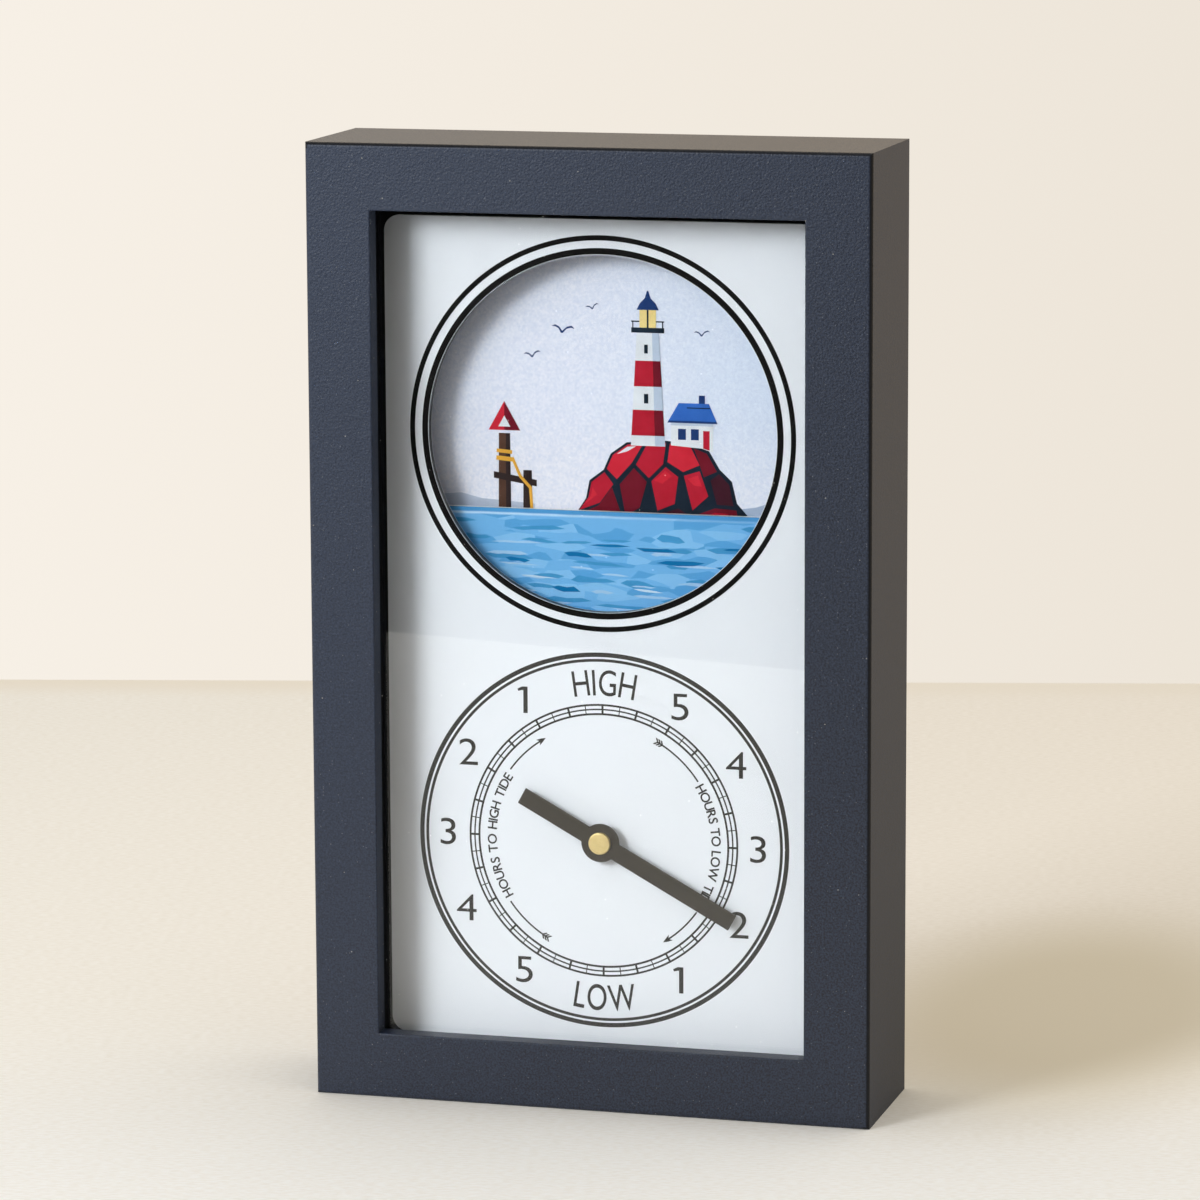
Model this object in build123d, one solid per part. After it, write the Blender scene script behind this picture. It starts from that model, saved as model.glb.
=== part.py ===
from build123d import *
import math
import os

# Tide clock: a mitred shadow-box frame, a dial with one tide hand, and a sea card that the hand's arbor
# raises and lowers behind a round window. Millimetres, front towards -Y, top towards +Z.
# The origin is the centre of the footprint, on the surface that the clock stands on.

# Frame
frame_width = 181.0
frame_height = 304.8
frame_depth = 52.8
face_width = 21.0
lip_depth = 6.3
side_wall = 12.7
rear_wall = 6.7
panel_recess = 1.5
outer_edge_radius = 1.3
inner_edge_radius = 0.5
rear_edge_radius = 0.8

# Steel V nails across the mitres
nail_leg = 3.6
nail_sheet = 0.6
nail_depth = 8.0

# Clearances shared by the pieces
fit_gap = 0.4
running_gap = 0.05
push_gap = 0.03
slide_gap = 0.4

# Glass and the black strips behind it
glass_thickness = 2.0
spacer_width = 4.6

# Dial plate: its window and the arbor's height are taken from its own edges
dial_depth = 18.7
plate_thickness = 3.0
plate_tuck = 1.0
plate_top_gap = 2.9
plate_seat_gap = 0.3
plate_corner_radius = 5.0
window_side_margin = 14.0
window_top_margin = 11.0
dial_rise = 66.0
arbor_hole_radius = 3.8

# Dial board behind the plate
dial_board_thickness = 2.5
board_window_margin = 1.5

# Sea card, the sheet that carries it and the rails that guide it
card_thickness = 0.4
card_side_margin = 6.0
card_low_margin = 4.0
sea_line_drop = 25.3
carrier_thickness = 1.6
rail_width = 6.8
groove_depth = 3.0
groove_play = 0.3
yoke_bar = 12.0
yoke_play = 0.3

# Round cam on the tide arbor, set off centre by its throw
cam_radius = 22.0
cam_thickness = 2.2
cam_throw = 16.0
linkage_gap = 0.4

# Scene board with the sky card
scene_board_thickness = 5.0
scene_card_margin = 9.0
nut_pocket_radius = 8.4
nut_pocket_depth = 2.8

# Tide hand: its angle is counted clockwise from high tide, seen from the front. It is pressed on a
# little behind the angle that the cam stands at.
hand_angle = 120.0
hand_lag = 1.3
hand_length = 48.9
hand_tail = 29.3
hand_width = 5.4
hand_thickness = 0.8
hand_hub_radius = 6.15
hand_gap = 2.9
hand_edge_radius = 0.12
cap_radius = 3.55
cap_thickness = 1.2
cap_edge_radius = 0.4
cap_pin_radius = 1.0
cap_pin_length = 4.0
arbor_radius = 2.55

# Movement case
movement_size = 56.0
movement_thickness = 16.0
case_wall = 1.2
case_front_wall = 1.0
case_corner_radius = 2.0
cover_thickness = 1.2
bushing_radius = 4.0
bushing_nut_flats = 11.0
bushing_nut_thickness = 2.0
washer_radius = 7.5
washer_thickness = 0.5
thread_gap = 0.05

# Cell and its bay at the case's lower edge: the cell fills what the bay leaves
bay_share = 0.265
cell_spring_room = 2.35
cell_nub_radius = 2.7
cell_nub_length = 1.2
cell_edge_radius = 0.6
cell_play = 0.3
bay_wall = 1.0
contact_sheet = 0.4
contact_width = 6.0
contact_gap = 0.05

# Gear train: one module throughout, so that the arbor's wheel clears the bay, and teeth as counts
wheel_bay_gap = 1.12
pressure_angle = 20.0
addendum_share = 0.75
dedendum_share = 1.1
tooth_play = 0.06
wheel_thickness = 1.2
level_gap = 0.5
arbor_teeth = 60
wheel_teeth = 50
pinion_teeth = 10
set_teeth = 12
pivot_radius = 0.6
arbor_pivot_radius = 1.0
reduction_direction = -60.0
intermediate_direction = 10.0
rotor_direction = -70.0
set_direction = -160.0

# Stepping motor
magnet_radius = 2.6
magnet_length = 2.5
stator_thickness = 0.8
stator_ring = 2.3
stator_air_gap = 0.5
stator_arm_share = 0.054
coil_radius_share = 0.046
coil_top_share = 0.04
coil_length = 22.0
coil_core_width = 2.0
coil_core_share = 0.54
coil_flange = 0.8
coil_left_gap = 9.0

# Bridge over the wheels, its posts and screws
bridge_thickness = 1.2
bridge_side_gap = 1.3
bridge_drop = 7.3
bridge_foot = 6.6
bridge_corner_radius = 1.5
post_radius = 1.8
small_screw_radius = 0.6
small_screw_head_radius = 1.3
small_screw_head = 0.5
small_screw_length = 5.0

# Circuit board and what sits on it
circuit_thickness = 1.0
circuit_low_gap = 2.5
circuit_lift = 0.7
chip_radius = 3.0
chip_height = 1.0
crystal_radius = 1.0
crystal_length = 6.0

# Hand-setting shaft and knob
set_shaft_radius = 1.5
knob_radius = 5.0
knob_thickness = 1.7
knob_gap = 0.3
knob_flutes = 24
knob_flute_radius = 0.3

# Retainer blocks between the scene board and the back panel
retainer_size = 8.0

# Back panel, its screws and the hanger
panel_thickness = 3.0
movement_opening_gap = 2.0
panel_screw_radius = 1.2
panel_screw_head_radius = 2.4
panel_screw_head = 1.1
panel_screw_length = 11.0
screw_height_shares = (0.1, 0.5, 0.9)
hanger_length = 45.0
hanger_height = 9.0
hanger_sheet = 0.7
hanger_raise = 0.6
hanger_end = 8.0
hanger_drop = 24.0
hanger_teeth = 9
hanger_tooth_depth = 1.6
hanger_screw_radius = 0.9
hanger_screw_head_radius = 1.9
hanger_screw_head = 0.5

# Screws through scene board, rails and dial board
board_screw_radius = 1.0
board_screw_head_radius = 2.1
board_screw_bite = 1.5
board_screw_inset = 1.9

# Depths, from the front face to the back
front = -frame_depth / 2
back = frame_depth / 2
glass_front = front + lip_depth
glass_back = glass_front + glass_thickness
plate_front = front + dial_depth
plate_back = plate_front + plate_thickness
board_back = plate_back + dial_board_thickness
card_front = board_back + slide_gap
carrier_front = card_front + card_thickness
carrier_back = carrier_front + carrier_thickness
cam_front = carrier_back + linkage_gap
cam_back = cam_front + cam_thickness
scene_front = cam_back + slide_gap
scene_back = scene_front + scene_board_thickness
case_front = scene_back
case_back = case_front + movement_thickness
cover_front = case_back - cover_thickness
panel_back = back - panel_recess
panel_front = panel_back - panel_thickness
hand_back = plate_front - hand_gap
hand_front = hand_back - hand_thickness

# Heights and half widths of the frame's opening, rabbet and rear recess
opening_half = frame_width / 2 - face_width
opening_high = frame_height - face_width
rabbet_half = frame_width / 2 - side_wall
rabbet_low = side_wall
rabbet_high = frame_height - side_wall
board_half = rabbet_half - fit_gap
board_low = rabbet_low + fit_gap
board_high = rabbet_high - fit_gap
panel_half = frame_width / 2 - rear_wall - fit_gap
panel_low = rear_wall + fit_gap
panel_high = frame_height - rear_wall - fit_gap

# Dial plate, its window and the arbor's height
plate_half = opening_half + plate_tuck
plate_low = rabbet_low + spacer_width + plate_seat_gap
plate_high = opening_high - plate_top_gap
window_radius = plate_half - window_side_margin
window_z = plate_high - window_top_margin - window_radius
arbor_z = plate_low + dial_rise
board_window_radius = window_radius + board_window_margin

# Sea card and yoke: the cam's centre at rest sets the yoke's height
hand_radians = math.radians(hand_angle)
cam_x = cam_throw * math.sin(hand_radians)
cam_z = arbor_z + cam_throw * math.cos(hand_radians)
sea_rise = cam_throw - cam_throw * math.cos(hand_radians)
sea_fall = 2 * cam_throw - sea_rise
sea_line = window_z - sea_line_drop
card_low = window_z - board_window_radius - sea_rise - card_low_margin
rail_inner = board_half - rail_width
carrier_half = rail_inner + groove_depth - slide_gap
yoke_half_width = cam_throw + cam_radius + yoke_play
yoke_half_height = cam_radius + yoke_play

# The battery bay and the case around it
case_inner = movement_size / 2 - case_wall
case_low = arbor_z - movement_size / 2
inner_front = case_front + case_front_wall
bay_low = case_low + case_wall
bay_high = bay_low + bay_share * movement_size
contact_inner = case_inner - contact_sheet
cell_radius = (bay_high - bay_low) / 2 - cell_play
cell_length = 2 * contact_inner - contact_gap - cell_nub_length - cell_spring_room
cell_z = bay_low + cell_radius + cell_play
cell_y = inner_front + cell_radius

# Gears and motor take the room above the bay
arbor_wheel_tip = arbor_z - bay_high - bay_wall - wheel_bay_gap
gear_module = arbor_wheel_tip / (arbor_teeth / 2 + addendum_share)
stator_arm = stator_arm_share * movement_size
coil_radius = coil_radius_share * movement_size
coil_core_radius = coil_core_share * coil_radius
coil_top_gap = coil_top_share * movement_size

# Levels of the gear train inside the case
level_1 = inner_front + slide_gap
level_2 = level_1 + wheel_thickness + level_gap
level_3 = level_2 + wheel_thickness + level_gap
magnet_front = level_3 + wheel_thickness + level_gap
magnet_back = magnet_front + magnet_length
stator_front = magnet_front + level_gap
stator_back = stator_front + stator_thickness
bridge_front = magnet_back + level_gap
bridge_back = bridge_front + bridge_thickness
circuit_front = bridge_back + circuit_lift
circuit_back = circuit_front + circuit_thickness

sides = (-1, 1)


def block(low_x, high_x, low_y, high_y, low_z, high_z):
    """A box given by its two corners."""
    corner = (Align.MIN, Align.MIN, Align.MIN)
    size = Box(high_x - low_x, high_y - low_y, high_z - low_z, align=corner)
    return Pos(low_x, low_y, low_z) * size


def rod(radius, low_y, high_y, x=0, z=0):
    """A round bar from front to back."""
    bar = Cylinder(radius, high_y - low_y, align=(Align.CENTER, Align.CENTER, Align.MIN))
    return Pos(x, low_y, z) * Rot(-90, 0, 0) * bar


def sheet(outline, low_y, high_y):
    """A flat piece: the outline is drawn as seen from the front, x to the right and z up."""
    rear_plane = Plane(origin=(0, high_y, 0), x_dir=(1, 0, 0), z_dir=(0, -1, 0))
    return extrude(rear_plane * outline, amount=high_y - low_y)


def rectangle(low_x, high_x, low_z, high_z):
    """A rectangle given by its two corners."""
    centre = Pos((low_x + high_x) / 2, (low_z + high_z) / 2)
    return centre * Rectangle(high_x - low_x, high_z - low_z)


def polar(distance, direction):
    """Steps in x and z: directions run clockwise from +X, seen from the front."""
    angle = math.radians(direction)
    return distance * math.cos(angle), -distance * math.sin(angle)


# Frame


def member_profile():
    """Section of a moulding: x runs inwards from the outer edge, y from front to back."""
    outline = Polyline(
        (0, front),
        (face_width, front),
        (face_width, glass_front),
        (side_wall, glass_front),
        (side_wall, panel_front),
        (rear_wall, panel_front),
        (rear_wall, back),
        (0, back),
        close=True,
    )
    profile = make_face(outline)
    rounded = (
        ((0, front), outer_edge_radius),
        ((face_width, front), inner_edge_radius),
        ((0, back), rear_edge_radius),
    )
    for corner, radius in rounded:
        vertex = profile.vertices().sort_by_distance((*corner, 0))[0]
        profile = fillet(vertex, radius)
    return profile


def frame_member(length):
    """A moulding along z, centred on z = 0, with its outer face at x = 0 and both ends mitred."""
    half = length / 2
    bar = Pos(0, 0, -half) * extrude(member_profile(), amount=length)
    mitre = Polyline(
        (0, front, -half),
        (0, front, half),
        (face_width, front, half - face_width),
        (face_width, front, face_width - half),
        close=True,
    )
    return bar & extrude(make_face(mitre), amount=frame_depth, dir=(0, 1, 0))


def corner_nails():
    """One L of sheet steel in each rear corner, with a leg in each of the two mouldings."""
    inset = rear_wall + (side_wall - rear_wall - nail_leg) / 2
    low_y = panel_front - nail_depth
    nails = []
    for side in sides:
        outer = frame_width / 2 - inset
        xs = sorted((side * outer, side * (outer - nail_leg)))
        ribs = sorted((side * outer, side * (outer - nail_sheet)))
        for low_z, high_z, rib_z in (
            (inset, inset + nail_leg, inset),
            (frame_height - inset - nail_leg, frame_height - inset, frame_height - inset - nail_sheet),
        ):
            level_leg = block(*xs, low_y, panel_front, rib_z, rib_z + nail_sheet)
            upright_leg = block(*ribs, low_y, panel_front, low_z, high_z)
            nails.append(level_leg + upright_leg)
    return nails


def panel_screw_places():
    """Where the back panel's screws enter the two stiles."""
    x = frame_width / 2 - (rear_wall + side_wall) / 2
    return [(side * x, frame_height * share) for side in sides for share in screw_height_shares]


def panel_screws():
    shank_front = panel_back - panel_screw_length
    screws = []
    for x, z in panel_screw_places():
        head = rod(panel_screw_head_radius, panel_back, panel_back + panel_screw_head, x, z)
        screws.append(rod(panel_screw_radius, shank_front, panel_back, x, z) + head)
    return screws


def panel_screw_holes():
    shank_front = panel_back - panel_screw_length
    radius = panel_screw_radius + push_gap
    return [rod(radius, shank_front, panel_back, x, z) for x, z in panel_screw_places()]


def add_frame(nodes):
    stile = frame_member(frame_height)
    rail = frame_member(frame_width)
    half = frame_width / 2
    placed = {
        "frame_left_stile": Pos(-half, 0, frame_height / 2) * stile,
        "frame_right_stile": Pos(half, 0, frame_height / 2) * Rot(0, 180, 0) * stile,
        "frame_bottom_rail": Rot(0, -90, 0) * rail,
        "frame_top_rail": Pos(0, 0, frame_height) * Rot(0, 90, 0) * rail,
    }
    nails = corner_nails()
    for name, member in placed.items():
        for nail in nails:
            member -= nail
        if "stile" in name:
            for hole in panel_screw_holes():
                member -= hole
        nodes[name] = member
    nodes["corner_v_nails"] = Part() + nails


# Glass, spacers and dial


def add_glazing(nodes):
    nodes["glass_pane"] = block(-board_half, board_half, glass_front, glass_back, board_low, board_high)
    inner_low = rabbet_low + spacer_width
    inner_high = rabbet_high - spacer_width
    inner_half = rabbet_half - spacer_width
    levels = {"spacer_bottom": (rabbet_low, inner_low), "spacer_top": (inner_high, rabbet_high)}
    for name, heights in levels.items():
        nodes[name] = block(-rabbet_half, rabbet_half, glass_back, plate_back, *heights)
    nodes["spacer_left"] = block(-rabbet_half, -inner_half, glass_back, plate_back, inner_low, inner_high)
    nodes["spacer_right"] = block(inner_half, rabbet_half, glass_back, plate_back, inner_low, inner_high)


def add_dial(nodes):
    height = plate_high - plate_low
    plate = Pos(0, plate_low + height / 2) * RectangleRounded(2 * plate_half, height, plate_corner_radius)
    plate -= Pos(0, window_z) * Circle(window_radius)
    plate -= Pos(0, arbor_z) * Circle(arbor_hole_radius)
    nodes["dial_plate"] = sheet(plate, plate_front, plate_back)

    board = rectangle(-board_half, board_half, board_low, board_high)
    board -= Pos(0, window_z) * Circle(board_window_radius)
    board -= Pos(0, arbor_z) * Circle(arbor_hole_radius)
    dial_board = sheet(board, plate_back, board_back)
    for x, z in board_screw_places():
        dial_board -= rod(board_screw_radius + push_gap, board_back - board_screw_bite, board_back, x, z)
    nodes["dial_board"] = dial_board


# Slide: rails, carrier and sea card


def board_screw_places():
    x = board_half - board_screw_inset
    return [(side * x, frame_height * share) for side in sides for share in screw_height_shares]


def add_rails(nodes):
    groove_front = carrier_front - groove_play
    groove_back = carrier_back + groove_play
    groove_end = rail_inner + groove_depth
    rail = block(rail_inner, board_half, board_back, scene_front, board_low, board_high)
    rail -= block(rail_inner, groove_end, groove_front, groove_back, board_low, board_high)
    for name, side in (("guide_rail_left", -1), ("guide_rail_right", 1)):
        placed = rail if side > 0 else mirror(rail, about=Plane.YZ)
        for x, z in board_screw_places():
            placed -= rod(board_screw_radius + push_gap, board_back, scene_front, x, z)
        nodes[name] = placed


def add_sea(nodes):
    low = cam_z - yoke_half_height - yoke_bar
    outline = rectangle(-carrier_half, carrier_half, low, sea_line)
    outline -= rectangle(
        -yoke_half_width,
        yoke_half_width,
        cam_z - yoke_half_height,
        cam_z + yoke_half_height,
    )
    nodes["sea_carrier"] = sheet(outline, carrier_front, carrier_back)
    card_half = window_radius + card_side_margin
    nodes["sea_card"] = block(-card_half, card_half, card_front, carrier_front, card_low, sea_line)


# Scene board, its card and its screws


def add_scene(nodes):
    board = block(-board_half, board_half, scene_front, scene_back, board_low, board_high)
    board -= rod(bushing_radius + fit_gap, scene_front, scene_back, 0, arbor_z)
    board -= rod(nut_pocket_radius, scene_front, scene_front + nut_pocket_depth, 0, arbor_z)
    screws = []
    for x, z in board_screw_places():
        board -= board_screw(push_gap, x, z)
        screws.append(board_screw(0, x, z))
    nodes["scene_board"] = board
    nodes["board_screws"] = Part() + screws
    card_half = window_radius + scene_card_margin
    low = window_z - card_half
    high = window_z + card_half
    card_front_y = scene_front - card_thickness
    nodes["scene_card"] = block(-card_half, card_half, card_front_y, scene_front, low, high)


def board_screw(gap, x, z):
    """A countersunk screw from the scene board's back into the dial board."""
    head_depth = board_screw_head_radius - board_screw_radius
    radius = board_screw_radius + gap
    end = board_back - board_screw_bite
    section = Polyline(
        (0, end),
        (radius, end),
        (radius, scene_back - head_depth - gap),
        (board_screw_head_radius + gap, scene_back),
        (0, scene_back),
        close=True,
    )
    return Pos(x, 0, z) * revolve(make_face(section), axis=Axis.Y)


def add_retainers(nodes):
    inner = board_half - retainer_size
    places = {
        "retainer_block_lower_left": (-board_half, -inner, board_low, board_low + retainer_size),
        "retainer_block_lower_right": (inner, board_half, board_low, board_low + retainer_size),
        "retainer_block_upper_left": (-board_half, -inner, board_high - retainer_size, board_high),
        "retainer_block_upper_right": (inner, board_half, board_high - retainer_size, board_high),
    }
    for name, (low_x, high_x, low_z, high_z) in places.items():
        nodes[name] = block(low_x, high_x, scene_back, panel_front, low_z, high_z)


# Hand, cap and cam


def add_hand(nodes):
    bar = rectangle(-hand_tail, hand_length, -hand_width / 2, hand_width / 2)
    outline = Rot(0, 0, 90 - hand_angle + hand_lag) * (bar + Circle(hand_hub_radius))
    outline -= Circle(arbor_radius + push_gap)
    hand = sheet(Pos(0, arbor_z) * outline, hand_front, hand_back)
    front_edges = hand.faces().sort_by(Axis.Y)[0].outer_wire().edges()
    nodes["tide_hand"] = chamfer(front_edges, hand_edge_radius)
    cap_front = hand_front - cap_thickness
    cap = rod(cap_radius, cap_front, hand_front, 0, arbor_z)
    cap = fillet(cap.edges().sort_by(Axis.Y)[0], cap_edge_radius)
    nodes["hand_cap"] = cap + rod(cap_pin_radius, hand_front, hand_front + cap_pin_length, 0, arbor_z)
    cam = rod(cam_radius, cam_front, cam_back, cam_x, cam_z)
    nodes["tide_cam"] = cam - rod(arbor_radius + push_gap, cam_front, cam_back, 0, arbor_z)


# Gears: phases and directions run clockwise from +X, seen from the front


def involute(angle):
    return math.tan(angle) - angle


def half_tooth(teeth, radius):
    """Half of the angle that a tooth covers at a radius."""
    pitch_radius = gear_module * teeth / 2
    pressure = math.radians(pressure_angle)
    base_radius = pitch_radius * math.cos(pressure)
    slope = math.acos(min(1.0, base_radius / radius))
    at_pitch = math.pi / (2 * teeth) - tooth_play / (2 * pitch_radius)
    return at_pitch + involute(pressure) - involute(slope)


def gear(teeth, phase, low_y, high_y, x, z):
    """A toothed disc with one tooth centred on the phase angle."""
    pitch_radius = gear_module * teeth / 2
    root = pitch_radius - dedendum_share * gear_module
    tip = pitch_radius + addendum_share * gear_module
    points = []
    for tooth in range(teeth):
        centre = math.radians(phase) + 2 * math.pi * tooth / teeth
        for side, radii in ((-1, (root, pitch_radius, tip)), (1, (tip, pitch_radius, root))):
            for radius in radii:
                angle = centre + side * half_tooth(teeth, radius)
                points.append((radius * math.cos(angle), radius * math.sin(angle)))
    plane = Plane(origin=(x, low_y, z), x_dir=(1, 0, 0), z_dir=(0, 1, 0))
    return extrude(plane * make_face(Polyline(*points, close=True)), amount=high_y - low_y)


def meshed_phase(teeth, phase, direction, next_teeth):
    """Phase of the next gear so that its gap faces a tooth of the first along their centre line."""
    ahead = (direction - phase) * teeth / 360 % 1.0
    return direction + 180 + (ahead + 0.5) * 360 / next_teeth


def gear_distance(teeth, next_teeth):
    return gear_module * (teeth + next_teeth) / 2


def step_from(place, distance, direction):
    step_x, step_z = polar(distance, direction)
    return place[0] + step_x, place[1] + step_z


arbor_place = (0, arbor_z)
reduction_place = step_from(arbor_place, gear_distance(arbor_teeth, pinion_teeth), reduction_direction)
intermediate_place = step_from(
    reduction_place, gear_distance(wheel_teeth, pinion_teeth), intermediate_direction
)
rotor_place = step_from(intermediate_place, gear_distance(wheel_teeth, pinion_teeth), rotor_direction)
set_place = step_from(arbor_place, gear_distance(arbor_teeth, set_teeth), set_direction)
arbor_phase = 0.0
reduction_phase = meshed_phase(arbor_teeth, arbor_phase, reduction_direction, pinion_teeth)
intermediate_phase = meshed_phase(wheel_teeth, reduction_phase, intermediate_direction, pinion_teeth)
rotor_phase = meshed_phase(wheel_teeth, intermediate_phase, rotor_direction, pinion_teeth)
set_phase = meshed_phase(arbor_teeth, arbor_phase, set_direction, set_teeth)


def add_arbor(nodes):
    shaft = rod(arbor_radius, hand_front, level_1, *arbor_place)
    shaft -= rod(cap_pin_radius + push_gap, hand_front, hand_front + cap_pin_length, *arbor_place)
    wheel = gear(arbor_teeth, arbor_phase, level_1, level_1 + wheel_thickness, *arbor_place)
    pivot = rod(arbor_pivot_radius, level_1, bridge_back, *arbor_place)
    nodes["tide_arbor"] = shaft + wheel + pivot


def train_wheel(phase, pinion_front, place):
    """A pinion with a larger wheel behind it, on a thin staff between case and bridge."""
    wheel_front = pinion_front + wheel_thickness + level_gap
    pinion = gear(pinion_teeth, phase, pinion_front, wheel_front, *place)
    wheel = gear(wheel_teeth, phase, wheel_front, wheel_front + wheel_thickness, *place)
    staff = rod(pivot_radius, case_front, bridge_back, *place)
    return pinion + wheel + staff


def add_train(nodes):
    nodes["reduction_wheel"] = train_wheel(reduction_phase, level_1, reduction_place)
    nodes["intermediate_wheel"] = train_wheel(intermediate_phase, level_2, intermediate_place)
    rotor = gear(pinion_teeth, rotor_phase, level_3, magnet_front, *rotor_place)
    nodes["rotor_pinion"] = rotor + rod(pivot_radius, case_front, bridge_back, *rotor_place)
    magnet = rod(magnet_radius, magnet_front, magnet_back, *rotor_place)
    nodes["rotor_magnet"] = magnet - rod(pivot_radius + push_gap, magnet_front, magnet_back, *rotor_place)
    knob_front = case_back + knob_gap
    knob_back = knob_front + knob_thickness
    pinion = gear(set_teeth, set_phase, level_1, level_1 + wheel_thickness, *set_place)
    shaft = rod(pivot_radius, case_front, level_1, *set_place)
    shaft += rod(set_shaft_radius, level_1, knob_back, *set_place)
    nodes["set_pinion"] = pinion + shaft
    nodes["set_knob"] = fluted_knob(knob_front, knob_back)


def fluted_knob(low_y, high_y):
    knob = rod(knob_radius, low_y, high_y, *set_place)
    knob -= rod(set_shaft_radius + push_gap, low_y, high_y, *set_place)
    for flute in range(knob_flutes):
        x, z = step_from(set_place, knob_radius, 360 * flute / knob_flutes)
        knob -= rod(knob_flute_radius, low_y, high_y, x, z)
    return knob


# Movement case


def post_places():
    """Three posts under the bridge."""
    left = -case_inner + bridge_foot + bridge_side_gap + post_radius * 2
    right = case_inner - bridge_side_gap - bridge_foot + post_radius
    low = bay_high + bay_wall + post_radius + contact_width / 2
    upper = arbor_z + gear_module * arbor_teeth / 2 + post_radius / 2
    return ((left, low), (right, low), (left + post_radius, upper))


def stator_post_places():
    left, low, right, high = stator_limits()
    return ((left + stator_arm / 2, low + stator_arm / 2), (right - stator_arm, high - stator_arm / 2))


def circuit_post_places():
    x = case_inner - 2 * post_radius
    return [(side * x, case_top() - post_radius) for side in sides]


def case_top():
    return arbor_z + case_inner


def pivots():
    """Places and radii of the pivots that turn in the front wall and in the bridge."""
    return (
        (reduction_place, pivot_radius),
        (intermediate_place, pivot_radius),
        (rotor_place, pivot_radius),
    )


def add_case(nodes):
    outline = Pos(0, arbor_z) * RectangleRounded(movement_size, movement_size, case_corner_radius)
    inside = rectangle(-case_inner, case_inner, arbor_z - case_inner, case_top())
    base = sheet(outline, case_front, cover_front) - sheet(inside, inner_front, cover_front)
    bushing_front = scene_front + nut_pocket_depth - washer_thickness - bushing_nut_thickness
    base += rod(bushing_radius, bushing_front, case_front, *arbor_place)
    bay_end = contact_inner - contact_gap
    base += block(-bay_end, bay_end, inner_front, cover_front, bay_high, bay_high + bay_wall)
    for place in post_places():
        base += rod(post_radius, inner_front, bridge_front, *place)
    for place in stator_post_places():
        base += rod(post_radius / 2, inner_front, stator_front, *place)
    for place in circuit_post_places():
        base += rod(post_radius, inner_front, circuit_front, *place)
    base -= rod(arbor_radius + running_gap, bushing_front, inner_front, *arbor_place)
    for place, radius in pivots():
        base -= rod(radius + running_gap, case_front, inner_front, *place)
    base -= rod(pivot_radius + running_gap, case_front, inner_front, *set_place)
    for screw in bridge_screws(push_gap):
        base -= screw
    nodes["movement_base"] = base
    add_bushing_fasteners(nodes, bushing_front)
    add_bridge(nodes)
    add_cover(nodes, outline)


def add_bushing_fasteners(nodes, bushing_front):
    nut_back = bushing_front + bushing_nut_thickness
    nut_radius = bushing_nut_flats / 2 / math.cos(math.pi / 6)
    bore = Circle(bushing_radius + thread_gap)
    nut = Pos(0, arbor_z) * (RegularPolygon(nut_radius, 6) - bore)
    nodes["bushing_nut"] = sheet(nut, bushing_front, nut_back)
    washer = Pos(0, arbor_z) * (Circle(washer_radius) - bore)
    nodes["bushing_washer"] = sheet(washer, nut_back, nut_back + washer_thickness)


def bridge_screws(gap):
    screws = []
    for place in post_places():
        shank = rod(small_screw_radius + gap, bridge_back - small_screw_length, bridge_back, *place)
        head = rod(small_screw_head_radius, bridge_back, bridge_back + small_screw_head, *place)
        screws.append(shank + head)
    return screws


def add_bridge(nodes):
    low = bay_high + bay_wall + bridge_side_gap
    high = case_top() - bridge_drop
    side = case_inner - bridge_side_gap
    left = -side + bridge_foot
    centre = Pos((left + side) / 2, (low + high) / 2)
    outline = centre * RectangleRounded(side - left, high - low, bridge_corner_radius)
    bridge = sheet(outline, bridge_front, bridge_back)
    bridge -= rod(arbor_pivot_radius + running_gap, bridge_front, bridge_back, *arbor_place)
    for place, radius in pivots():
        bridge -= rod(radius + running_gap, bridge_front, bridge_back, *place)
    bridge -= rod(set_shaft_radius + running_gap, bridge_front, bridge_back, *set_place)
    for screw in bridge_screws(push_gap):
        bridge -= screw
    nodes["movement_bridge"] = bridge
    nodes["bridge_screws"] = Part() + bridge_screws(0)


def add_cover(nodes, outline):
    bay = rectangle(-contact_inner, contact_inner, bay_low, bay_high)
    cover = sheet(outline - bay, cover_front, case_back)
    nodes["movement_cover"] = cover - rod(
        set_shaft_radius + slide_gap / 2, cover_front, case_back, *set_place
    )


# Stepping motor


def stator_limits():
    """Left, low, right and high edges of the stator plate's straight parts."""
    left = -case_inner + coil_left_gap - stator_arm
    right = rotor_place[0]
    high = case_top() - coil_top_gap
    low = high - 2 * coil_radius - coil_top_gap - stator_arm
    return left, low, right, high


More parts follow.
